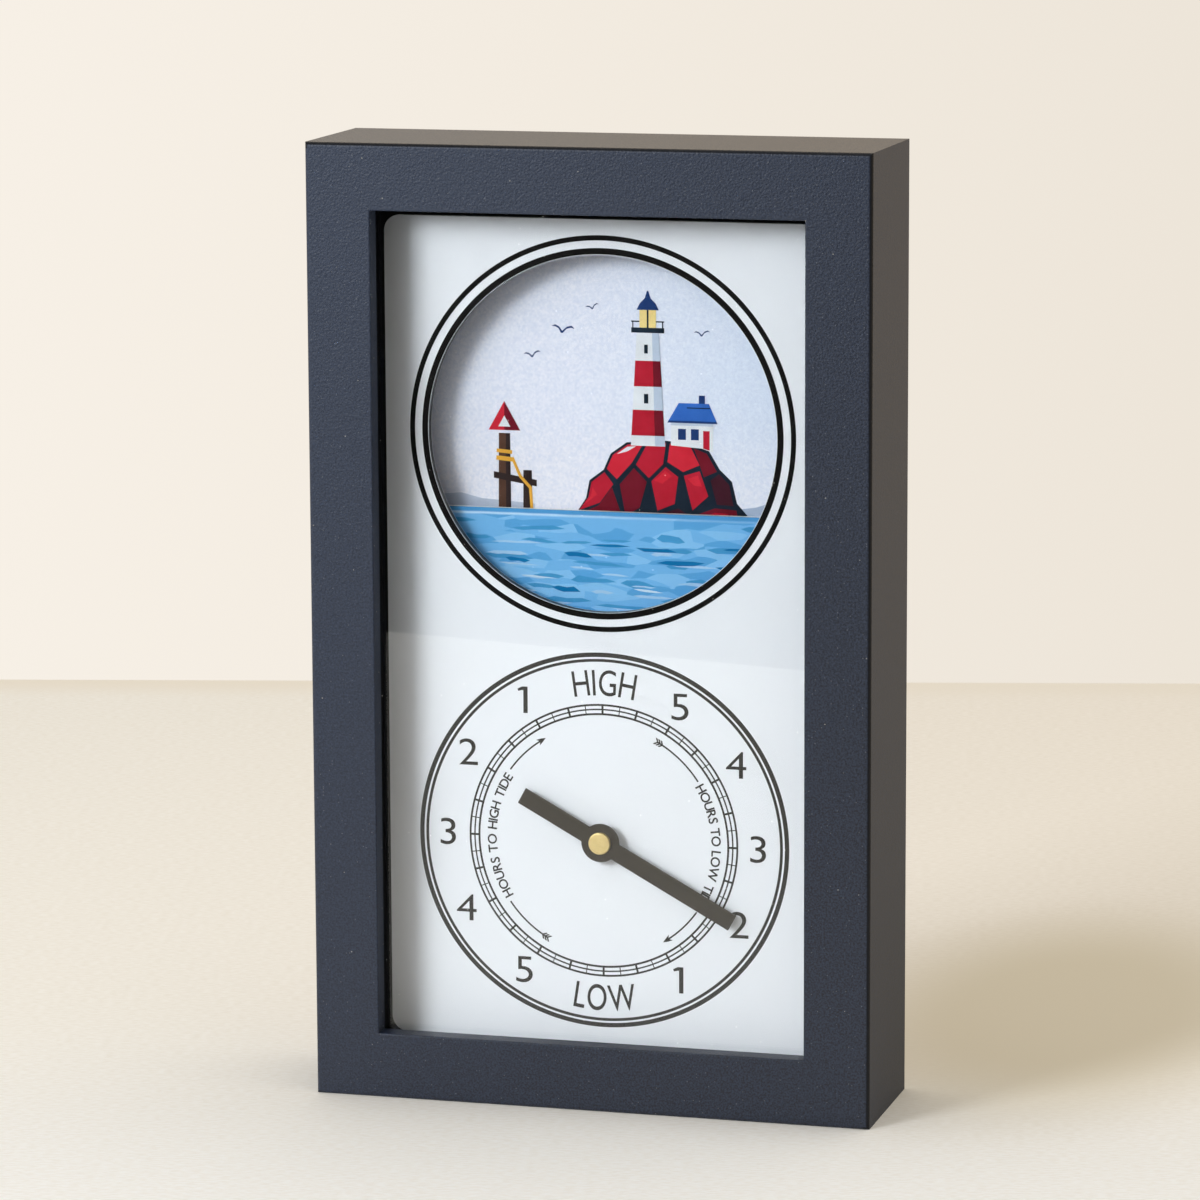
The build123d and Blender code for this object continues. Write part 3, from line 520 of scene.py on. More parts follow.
sea = {
    "base": tone(113, 180, 232), "deep": tone(86, 162, 219), "deepShare": 0.38,
    "pale": tone(132, 193, 238), "paleFrom": 0.72, "cells": (95, 0, 400),
    "bendScale": 110, "bend": (0.003, 0, 0.0015), "wobble": 0.00015,
    "band": tone(74, 150, 208), "bandHigh": (1.6, 1.2),
    "white": tone(190, 222, 246), "line": 1.7, "lineReach": (0.6, 0.1), "fade": (0.035, -0.03, 0.25, 0.95),
    "edge": tone(58, 104, 146), "specular": 0.15, "roughness": (0.45, 0.6), "bump": (0.1, 0.00002),
    "tooth": {"over": (70, 120, 165), "share": 0.12, "Scale": 900, "Contrast": 1.6},
}


def seaFinish():
    # flat brush patches laid side by side, a paler line under the top edge of the card
    tree, shader, place = newFinish("seaPrint", specular=sea["specular"])
    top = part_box("sea_card")[1].z
    bend = put(tree, "TexNoise", {"Vector": place, "Scale": sea["bendScale"], "Detail": 1}).outputs
    warped = warp(tree, "ADD", place, warp(tree, "MULTIPLY", bend["Color"], sea["bend"]))
    cells = put(tree, "TexVoronoi", {"Vector": warp(tree, "MULTIPLY", warped, sea["cells"]), "Scale": 1})
    lot = put(tree, "SeparateColor", {0: cells.outputs["Color"]}).outputs
    colour = choose(tree, lot[0], sea["deepShare"], sea["deep"], sea["base"])
    colour = choose(tree, lot[1], sea["paleFrom"], colour, sea["pale"])
    ways = split(tree, place)
    height = work(tree, "ADD", ways["Z"], reach(tree, bend["Fac"], 0, 1, -sea["wobble"], sea["wobble"]))
    colour = ramp(tree, height, [top - depth * mm for depth in sea["bandHigh"]], colour, sea["band"])
    away = work(tree, "ABSOLUTE", work(tree, "SUBTRACT", height, top - sea["line"] * mm))
    line = reach(tree, away, *(half * mm for half in sea["lineReach"]))
    fade = reach(tree, ways["X"], *sea["fade"])
    colour = tint(tree, colour, line, fade, sea["white"])
    colour = choose(tree, splitNormal(tree)["Z"], 0.5, colour, sea["edge"])
    colour, tooth = overlay(tree, place, colour, **sea["tooth"])
    closeFinish(tree, shader, colour, tooth, tooth, sea)


sky = {
    "left": tone(241, 241, 253), "right": tone(223, 234, 252), "across": (-0.02, 0.05),
    "cloudStretch": (1, 1, 2.4),
    "clouds": {"over": (241, 242, 252), "share": 0.5, "Scale": 18, "Contrast": 1.8},
    "low": tone(248, 242, 246), "lowReach": (0.225, 0.186), "lowShare": 0.6,
    "blotches": {"over": (196, 212, 234), "share": 0.2, "Scale": 330, "Contrast": 2},
    "tooth": {"over": (194, 206, 232), "share": 0.42, "Scale": 1250, "Contrast": 3.8},
    "specular": 0.3, "roughness": (0.5, 0.65), "bump": (0.15, 0.00002),
}


def skyFinish():
    # pale lavender paper, soft cloudy patches and a fine tooth
    tree, shader, place = newFinish("skyPrint", specular=sky["specular"])
    ways = split(tree, place)
    colour = ramp(tree, ways["X"], sky["across"], sky["left"], sky["right"], True)
    drawn = warp(tree, "MULTIPLY", place, sky["cloudStretch"])
    colour = overlay(tree, drawn, colour, **sky["clouds"])[0]
    low = reach(tree, ways["Z"], *sky["lowReach"], soft=True)
    colour = tint(tree, colour, low, sky["lowShare"], sky["low"])
    colour = overlay(tree, place, colour, **sky["blotches"])[0]
    colour, tooth = overlay(tree, place, colour, **sky["tooth"])
    closeFinish(tree, shader, colour, tooth, tooth, sky)


winding = {
    "dark": tone(150, 78, 44), "light": tone(196, 112, 66), "gap": tone(70, 32, 20), "pitch": 0.00035,
    "gapReach": (0.2, -1, 0, 0.8), "patches": {"Scale": 500, "Contrast": 1.4},
    "roughness": (0.28, 0.4), "bump": (0.6, 0.00008),
}


def windingFinish():
    # turns of enamelled wire side by side along the bobbin
    tree, shader, place = newFinish("copperTurns", metallic=1)
    turns = work(tree, "SINE", work(tree, "MULTIPLY", split(tree, place)["X"],
                                    2 * math.pi / winding["pitch"]))
    patches = effect(tree, "mottle", place, **winding["patches"])
    colour = blend(tree, patches, winding["dark"], winding["light"])
    colour = ramp(tree, turns, winding["gapReach"], colour, winding["gap"])
    closeFinish(tree, shader, colour, patches, turns, winding)


circuit = {
    "dark": tone(22, 74, 44), "light": tone(30, 90, 54), "patches": {"Scale": 120, "Contrast": 1.2},
    "run": tone(62, 128, 78), "runScale": 260, "runReach": (0.1, 0.06), "runShare": 0.7,
    "pads": {"kind": "specks", "over": (196, 198, 196), "Scale": 260, "Share": 0.4, "Size": 0.2},
    "roughness": (0.25, 0.35), "bump": (0.4, 0.00004),
}


def circuitFinish():
    # solder mask with copper runs under it and bright pads
    tree, shader, place = newFinish("solderMask")
    patches = effect(tree, "mottle", place, **circuit["patches"])
    colour = blend(tree, patches, circuit["dark"], circuit["light"])
    runs = put(tree, "TexVoronoi", {"Vector": place, "Scale": circuit["runScale"]},
               distance="CHEBYCHEV", feature="DISTANCE_TO_EDGE")
    track = reach(tree, runs.outputs["Distance"], *circuit["runReach"])
    colour = tint(tree, colour, track, circuit["runShare"], circuit["run"])
    colour = overlay(tree, place, colour, **circuit["pads"])[0]
    closeFinish(tree, shader, colour, patches, track, circuit)


cell = {
    "jacket": (tone(66, 69, 75), tone(84, 88, 94)), "metal": (tone(172, 172, 168), tone(204, 204, 200)),
    "leftEnd": 0.9, "rightEnd": 2,
    "scuffs": {"Stretch": (1, 6, 6), "Scale": 300, "Contrast": 1.8},
    "roughness": (0.28, 0.42), "bump": (0.15, 0.00003),
}


def cellFinish():
    # grey shrink sleeve with bright metal ends
    tree, shader, place = newFinish("cellSleeve")
    low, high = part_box("battery_cell")
    along = split(tree, place)["X"]
    sleeve = work(tree, "MULTIPLY", work(tree, "GREATER_THAN", along, low.x + cell["leftEnd"] * mm),
                  work(tree, "LESS_THAN", along, high.x - cell["rightEnd"] * mm))
    scuffs = effect(tree, "lines", place, **cell["scuffs"])
    colour = blend(tree, sleeve, blend(tree, scuffs, *cell["metal"]), blend(tree, scuffs, *cell["jacket"]))
    tree.links.new(work(tree, "SUBTRACT", 1, sleeve), shader.inputs["Metallic"])
    closeFinish(tree, shader, colour, scuffs, scuffs, cell)


recipes = {
    "blackStrip": {
        "dark": (10, 9, 9), "light": (20, 18, 17), "roughness": (0.7, 0.85), "specular": 0.25,
        "skin": {"Scale": 900}, "bump": (0.5, 0.00008)},
    "blackBoard": {
        "dark": (12, 12, 12), "light": (22, 21, 21), "roughness": (0.65, 0.8), "specular": 0.25,
        "skin": {"Scale": 1200}},
    "whiteSheet": {
        "dark": (226, 226, 222), "light": (236, 236, 233), "roughness": (0.35, 0.45),
        "skin": {"Scale": 2400}, "bump": (0.12, 0.00004),
        "specks": {"over": (150, 148, 142), "Share": 0.01}},
    "hardboard": {
        "dark": (122, 89, 60), "light": (146, 110, 77), "roughness": (0.55, 0.75),
        "patches": {"Scale": 420, "Contrast": 2.6}, "skin": {"Scale": 1700},
        "streaks": {"over": (88, 62, 42), "share": 0.4, "Stretch": (4, 1, 1), "Scale": 700},
        "specks": {"over": (178, 146, 108), "Share": 0.06, "Scale": 1100}, "rub": {"over": (168, 134, 98)},
        "bump": (0.4, 0.00004)},
    "softwood": {
        "dark": (190, 152, 106), "light": (214, 180, 134), "roughness": (0.6, 0.75),
        "patches": {"Scale": 90}, "skin": {"Scale": 1300},
        "streaks": {"over": (156, 112, 70), "share": 0.55, "Stretch": (6, 6, 0.5), "Scale": 160},
        "rub": {"over": (226, 200, 160)}, "bump": (0.35, 0.00004)},
    "oliveLacquer": {
        "dark": (32, 25, 14), "light": (42, 34, 20), "roughness": (0.4, 0.5), "specular": 0.22,
        "patches": {"Scale": 240}, "skin": {"Scale": 1900},
        "specks": {"over": (130, 124, 110), "Share": 0.012, "Scale": 900},
        "rub": {"over": (86, 78, 62), "Reach": 0.00025, "Amount": 0.35}, "bump": (0.25, 0.00004)},
    "satinBrass": {
        "dark": (230, 204, 138), "light": (248, 226, 164), "roughness": (0.38, 0.5), "metallic": 1,
        "patches": {"Scale": 500}, "skin": {"Scale": 2600},
        "streaks": {"over": (196, 164, 96), "share": 0.3, "Stretch": (1, 1, 7), "Scale": 900},
        "bump": (0.2, 0.00002)},
    "zincSteel": {
        "dark": (176, 178, 178), "light": (206, 208, 206), "roughness": (0.28, 0.42), "metallic": 1,
        "patches": {"Scale": 350, "Contrast": 2},
        "streaks": {"over": (138, 140, 144), "share": 0.35, "Stretch": (1, 1, 5), "Scale": 900},
        "rub": {"over": (226, 226, 222), "Reach": 0.0002}, "bump": (0.2, 0.00004)},
    "mouldedBlack": {
        "dark": (30, 30, 31), "light": (40, 40, 41), "roughness": (0.45, 0.58),
        "skin": {"Scale": 2100, "Cells": 0.7}, "bump": (0.45, 0.00005),
        "rub": {"over": (74, 74, 75), "Reach": 0.0003, "Amount": 0.4}},
    "ivoryAcetal": {
        "dark": (222, 219, 206), "light": (234, 232, 221), "roughness": (0.3, 0.4),
        "patches": {"Scale": 300}, "skin": {"Scale": 1900}, "bump": (0.15, 0.00004)},
    "fibreWasher": {
        "dark": (34, 30, 28), "light": (56, 50, 46), "roughness": (0.7, 0.85),
        "patches": {"Scale": 700, "Contrast": 2.5}, "bump": (0.5, 0.00004),
        "streaks": {"over": (70, 62, 56), "share": 0.4, "Stretch": (1, 4, 1)}},
    "sinteredMagnet": {
        "dark": (70, 70, 73), "light": (96, 96, 99), "roughness": (0.45, 0.6), "metallic": 1,
        "patches": {"Scale": 900, "Contrast": 2.2}, "specks": {"over": (130, 130, 132), "Share": 0.08},
        "bump": (0.4, 0.00004)},
}

for name, recipe in recipes.items():
    commonFinish(name, **recipe)
for makeFinish in (paintFinish, glassFinish, plateFinish, seaFinish, skyFinish, windingFinish,
                   circuitFinish, cellFinish):
    makeFinish()

finishOfSlot = {
    "navy_paint": "navySpray", "clear_glass": "clearPane", "black_strip": "blackStrip",
    "dial_white": "dialSheet", "black_board": "blackBoard", "white_sheet": "whiteSheet",
    "sea_print": "seaPrint", "sky_print": "skyPrint", "brown_board": "hardboard",
    "dark_metal": "oliveLacquer", "brass": "satinBrass", "steel": "zincSteel",
    "black_plastic": "mouldedBlack", "white_plastic": "ivoryAcetal", "fibre": "fibreWasher",
    "magnet": "sinteredMagnet", "copper": "copperTurns", "circuit_green": "solderMask",
    "cell_jacket": "cellSleeve",
}


def dressFrame():
    # every part takes the finish of its slot; the blocks are of plain wood
    for name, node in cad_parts.items():
        for slot in node.material_slots:
            finish = finishOfSlot[slot.material.name]
            if name.startswith("retainer_block"):
                finish = "softwood"
            slot.material = finishes[finish]


dressFrame()
print("finishes are on the parts from the frame")


dial = {
    "centre": (0, 83.6), "window": (0, 213.4), "thick": 0.03, "thin": 0.02, "sides": 192,
    "windowRings": ((62.58, 60.95), (58.58, 56.62)),
    "dialRings": ((60.58, 59.16), (58.54, 57.62)),
    "trackRings": ((44.1, 43.48), (41.17, 40.53)), "trackMiddle": (42.57, 42.1),
    "tickTurn": 15, "ticks": ((0.66, 0), (0.3, 7.5)), "tickCuts": 1,
    "numeralHigh": 8.5, "numeralWide": 1.17, "bold": -0.004, "capShare": 0.682, "curveSteps": 5,
    "one": ((0.21, -0.5), (0.375, -0.5), (0.375, 0.5), (0.16, 0.5), (-0.02, 0.41), (0.02, 0.325),
            (0.165, 0.368), (0.21, 0.36)), "oneMiddle": 0.1775,
}

numerals = [
    ("5", 25.25, 127.9), ("4", 43.4, 110.25), ("3", 50.5, 83.5), ("2", 44.3, 58.85), ("1", 24.5, 39.8),
    ("5", -26.25, 40.3), ("4", -45.3, 59.55), ("3", -51.25, 84.05), ("2", -44.25, 110.25),
    ("1", -26.25, 127.9),
]

words = {
    "wordHigh": {"letters": "HIGH", "radius": 50.9, "high": 8.15, "squeeze": 0.75, "gap": 1.25,
                 "shift": 0.6, "bold": 0},
    "wordLow": {"letters": "LOW", "radius": -51, "high": 8.3, "squeeze": 0.7, "gap": 0.6,
                "shift": 0.5, "bold": 0.004},
}

legends = {
    "legendHigh": {"letters": "HOURS TO HIGH TIDE", "radius": 36.6, "first": 239.5, "last": 301.6,
                   "tail": 208.5, "tailLine": 235.3, "headLine": 305.4, "tip": 330},
    "legendLow": {"letters": "HOURS TO LOW TIDE", "radius": 36.95, "first": 60.1, "last": 120.6,
                  "tail": 27.5, "tailLine": 56.4, "headLine": 125, "tip": 148.4},
}

legendType = {"high": 2.9, "bold": 0.015, "space": 0.5}

arrow = {
    "radius": 37.3, "wide": 0.52, "arcSteps": 20, "tailGap": 1.3, "headLong": 3.6,
    "barb": 1.1, "barbThick": 0.95, "barbSweep": 1.5, "barbStarts": (4.5, 3.15, 1.8),
    "head": ((0, 0), (-2.2, 0.6), (-4.8, 1.08), (-3.6, 0.2), (-3.6, -0.2), (-4.6, -1.08),
             (-2.2, -0.55)),
}

screen = {
    "dark": tone(5, 4, 2), "light": tone(13, 10, 8), "patches": {"Scale": 700, "Contrast": 1.8},
    "pinholes": {"kind": "specks", "over": (150, 146, 138), "share": 0.7, "Scale": 800,
                 "Share": 0.03, "Size": 0.13},
    "specular": 0.1, "roughness": (0.42, 0.55), "bump": (0.1, 0.00001),
}


def inkFinish():
    # brown-black screen ink with a faint mottle and pinholes
    tree, shader, place = newFinish("screenInk", specular=screen["specular"])
    patches = effect(tree, "mottle", place, **screen["patches"])
    colour = blend(tree, patches, screen["dark"], screen["light"])
    colour = overlay(tree, place, colour, **screen["pinholes"])[0]
    closeFinish(tree, shader, colour, patches, patches, screen)


inkFinish()
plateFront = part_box("dial_plate")[0].y


def polar(radius, degrees):
    # a place on a circle about the dial's centre, clockwise from twelve
    angle = math.radians(degrees)
    return (dial["centre"][0] + radius * math.sin(angle), dial["centre"][1] + radius * math.cos(angle))


def printOn(shapes, name, depth=dial["thick"]):
    piece = makePiece(shapes, name, depth * mm)
    piece.data.materials.clear()
    piece.data.materials.append(finishes["screenInk"])
    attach(piece, "root")


def addRing(outer, inner, centre):
    bpy.ops.mesh.primitive_circle_add(vertices=dial["sides"], radius=outer * mm, fill_type="NGON",
                                      location=(centre[0] * mm, plateFront, centre[1] * mm),
                                      rotation=(faceViewer, 0, 0))
    ring = bpy.context.object
    startEdit()
    bpy.ops.mesh.inset(thickness=(outer - inner) * mm, depth=0)
    bpy.ops.mesh.delete(type="FACE")
    bpy.ops.object.mode_set(mode="OBJECT")
    return settle(ring)


def addTick(width):
    # a bar from the outer to the inner track line, at twelve o'clock
    outer, inner = dial["trackRings"][0][1], dial["trackRings"][1][0]
    bpy.ops.mesh.primitive_plane_add(size=mm, location=(0, 0, 0))
    tick = bpy.context.object
    startEdit()
    bpy.ops.transform.resize(value=(width, outer - inner, 1))
    bpy.ops.transform.translate(value=(0, (outer + inner) / 2 * mm, 0))
    bpy.ops.mesh.subdivide(number_cuts=dial["tickCuts"])
    bpy.ops.object.mode_set(mode="OBJECT")
    return tick


def addTrack():
    shapes = []
    for width, start in dial["ticks"]:
        pattern = addTick(width)
        for angle in range(0, 360, dial["tickTurn"]):
            tick = pattern.copy()
            tick.data = pattern.data.copy()
            bpy.context.scene.collection.objects.link(tick)
            tick.rotation_euler = (faceViewer, math.radians(start + angle), 0)
            tick.location = (dial["centre"][0] * mm, plateFront, dial["centre"][1] * mm)
            shapes.append(settle(tick))
        bpy.data.objects.remove(pattern)
    return shapes


def addGlyph(text, high, squeeze, bold, spot=(0, 0)):
    # one letter or numeral, with its width in millimetres
    bpy.ops.object.text_add()
    glyph = bpy.context.object
    glyph.data.body = text
    glyph.data.size = high / dial["capShare"]
    glyph.data.resolution_u = dial["curveSteps"]
    glyph.data.offset = bold * glyph.data.size
    bpy.ops.object.convert(target="MESH")
    glyph = bpy.context.object
    bpy.ops.object.origin_set(type="ORIGIN_GEOMETRY", center="BOUNDS")
    width = glyph.dimensions.x * squeeze
    glyph.scale = (mm * squeeze, mm, mm)
    glyph.rotation_euler = (faceViewer, 0, 0)
    glyph.location = (spot[0] * mm, plateFront, spot[1] * mm)
    return glyph, width


def addOne(high, x, z):
    # the 1 is drawn: a bar with a short sloping flag
    return flatShape([(x + (px - dial["oneMiddle"]) * high, z + pz * high) for px, pz in dial["one"]],
                     plateFront)


def addNumerals():
    high = dial["numeralHigh"]
    return [addOne(high, x, z) if label == "1" else
            settle(addGlyph(label, high, dial["numeralWide"], dial["bold"], (x, z))[0])
            for label, x, z in numerals]


def fanOut(made, along, gap, radius, turn=0):
    # stands letters one after another on a circle about the dial's centre
    shapes = []
    for glyph, width in made:
        if glyph is None:
            along += width
            continue
        angle = turn + math.degrees((along + width / 2) / radius)
        x, z = polar(radius, angle)
        glyph.location = (x * mm, plateFront, z * mm)
        glyph.rotation_euler = (faceViewer, math.radians(angle), 0)
        shapes.append(settle(glyph))
        along += width + gap
    return shapes


def addWord(word):
    # a negative radius keeps the letters upright below the centre
    made = [addGlyph(letter, word["high"], word["squeeze"], word["bold"]) for letter in word["letters"]]
    total = sum(width for glyph, width in made) + word["gap"] * (len(made) - 1)
    return fanOut(made, word["shift"] - total / 2, word["gap"], word["radius"])


def addLegend(legend):
    # letters run clockwise with their tops outwards, evenly spaced between the first and the last
    blank = (None, legendType["high"] * legendType["space"])
    made = [addGlyph(letter, legendType["high"], 1, legendType["bold"]) if letter != " " else blank
            for letter in legend["letters"]]
    run = math.radians(legend["last"] - legend["first"]) * legend["radius"]
    widths = [width for glyph, width in made if glyph]
    inner = sum(widths) - widths[0] / 2 - widths[-1] / 2
    gap = (run - inner - made.count(blank) * blank[1]) / (len(widths) - 1)
    return fanOut(made, -widths[0] / 2, gap, legend["radius"], legend["first"])


def addArrow(legend):
    # feathered tail, thin arc on both sides of the legend, slender barbed head
    middle, half = arrow["radius"], arrow["wide"] / 2
    sweep, thick = arrow["barbSweep"], arrow["barbThick"]

    def shapeAt(pairs, base):
        return flatShape([polar(middle + out, base + step) for step, out in pairs], plateFront)

    def arc(first, last):
        angles = [first + (last - first) * step / arrow["arcSteps"] for step in range(arrow["arcSteps"] + 1)]
        outer = [polar(middle + half, angle) for angle in angles]
        inner = [polar(middle - half, angle) for angle in reversed(angles)]
        return flatShape(outer + inner, plateFront)

    shapes = [shapeAt([(start, 0), (start - sweep, barb), (start - sweep - thick, barb),
                       (start - thick, 0)], legend["tail"])
              for start in arrow["barbStarts"] for barb in (arrow["barb"], -arrow["barb"])]
    return shapes + [shapeAt(arrow["head"], legend["tip"]),
                     arc(legend["tail"] + arrow["tailGap"], legend["tailLine"]),
                     arc(legend["headLine"], legend["tip"] - arrow["headLong"])]


def printDial():
    for name, centre in (("windowRings", dial["window"]), ("dialRings", dial["centre"]),
                         ("trackRings", dial["centre"])):
        printOn([addRing(outer, inner, centre) for outer, inner in dial[name]], name)
    printOn([addRing(*dial["trackMiddle"], dial["centre"])], "trackMiddleRing", dial["thin"])
    printOn(addTrack(), "trackTicks")
    printOn(addNumerals(), "hourNumerals")
    for name, word in words.items():
        printOn(addWord(word), name)
    for name, legend in legends.items():
        printOn(addLegend(legend), name)
        printOn(addArrow(legend), name + "Arrow", dial["thin"])


printDial()
print("the dial is printed")


cardPrint = {
    "specular": 0.12, "dim": 0.8, "patches": {"Scale": 150, "Contrast": 2.2},
    "tooth": {"share": 0.2, "Scale": 1300, "Contrast": 2}, "roughness": (0.48, 0.6),
    "bump": (0.1, 0.00002),
}


def printFinish(name, colours, spread):
    # a flat printed colour with a paper tooth and a faint change of tone
    tree, shader, place = newFinish(name, specular=cardPrint["specular"])
    patches = effect(tree, "mottle", place, **cardPrint["patches"])
    colour = blend(tree, patches, tone(*(max(0, value - spread) for value in colours)), tone(*colours))
    dim = [value * cardPrint["dim"] for value in colours]
    colour, tooth = overlay(tree, place, colour, dim, **cardPrint["tooth"])
    closeFinish(tree, shader, colour, tooth, tooth, cardPrint)


strokes = {
    "seed": 11, "layer": 0.02, "tries": 30, "spread": 10, "margin": 4, "foot": 54, "crowding": 0.8,
    "apartAlong": 0.53, "apartUp": 0.6, "apartSlope": 0.05, "tilt": (-0.09, 0.03),
    "point": (-0.2, 0.2), "wander": (-0.06, 0.06), "back": (0.25, 0.55), "backAt": (-0.28, 0.02, 0.26),
    "belly": (0.2, 0.5), "bellyAt": (0.24, -0.05, -0.3),
}

strokeKinds = {
    "seaMid": {"tone": (70, 153, 208), "count": 54, "long": (8, 22), "high": (1.1, 3.1), "from": 4},
    "seaPale": {"tone": (170, 208, 241), "count": 48, "long": (7, 18), "high": (0.7, 1.8), "from": 9},
    "seaDeep": {"tone": (0, 114, 172), "count": 32, "long": (6, 16), "high": (0.9, 2.1), "from": 9},
    "seaFoam": {"tone": (204, 228, 247), "count": 20, "long": (6, 15), "high": (0.4, 0.85), "from": 12},
}


def addStroke(draw, x, z, long, high):
    # a brush touch: pointed at both ends, with an uneven back and belly
    tilt = draw.uniform(*strokes["tilt"])
    outline = [(-0.5, draw.uniform(*strokes["point"]))]
    outline += [(share + draw.uniform(*strokes["wander"]), draw.uniform(*strokes["back"]))
                for share in strokes["backAt"]]
    outline += [(0.5, draw.uniform(*strokes["point"]))]
    outline += [(share + draw.uniform(*strokes["wander"]), -draw.uniform(*strokes["belly"]))
                for share in strokes["bellyAt"]]
    return [(x + px * long, z + pz * high + px * long * tilt) for px, pz in outline]


def scatter(draw, kind, top, half):
    # places for strokes of one kind, none of them over another
    kept = []
    for attempt in range(kind["count"] * strokes["tries"]):
        long, thick = draw.uniform(*kind["long"]), draw.uniform(*kind["high"])
        x = draw.uniform(-half + long / 2, half - long / 2)
        z = top - kind["from"] - (strokes["foot"] - kind["from"]) * draw.random() ** strokes["crowding"]
        if not any(abs(spot[0] - x) < (spot[2] + long) * strokes["apartAlong"]
                   and abs(spot[1] - z) < (spot[3] + thick) * strokes["apartUp"]
                   + strokes["apartSlope"] * (spot[2] + long) for spot in kept):
            kept.append((x, z, long, thick))
        if len(kept) == kind["count"]:
            break
    return kept


def paintSea():
    # strokes on the moving card, each kind in a layer nearer than the last
    draw = random.Random(strokes["seed"])
    low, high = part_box("sea_card")
    half = high.x / mm - strokes["margin"]
    front = low.y
    for name, kind in strokeKinds.items():
        printFinish(name, kind["tone"], strokes["spread"])
        shapes = [flatShape(addStroke(draw, *spot), front, finishes[name])
                  for spot in scatter(draw, kind, high.z / mm, half)]
        piece = makePiece(shapes, name + "Strokes", strokes["layer"] * mm)
        front -= strokes["layer"] * mm
        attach(piece, "sea")


paintSea()
print("the sea is painted")


def bar(left, foot, right, head):
    return [(left, foot), (left, head), (right, head), (right, foot)]


shore = {"middle": 10, "water": 184, "grow": 1.16, "layer": 0.02, "spread": 14}

inks = {
    "Crimson": (190, 28, 52), "DarkRed": (120, 14, 38), "BrightRed": (214, 40, 60), "NavyShade": (20, 38, 54),
    "Plum": (70, 22, 40), "White": (238, 242, 248), "ShadeWhite": (196, 210, 230), "Blue": (52, 108, 196),
    "DeepBlue": (30, 62, 120), "Yellow": (236, 176, 66), "Timber": (92, 62, 48), "TimberDark": (52, 38, 38),
    "Haze": (176, 190, 214), "HazeFar": (196, 205, 224), "LampGlow": (250, 224, 150),
}

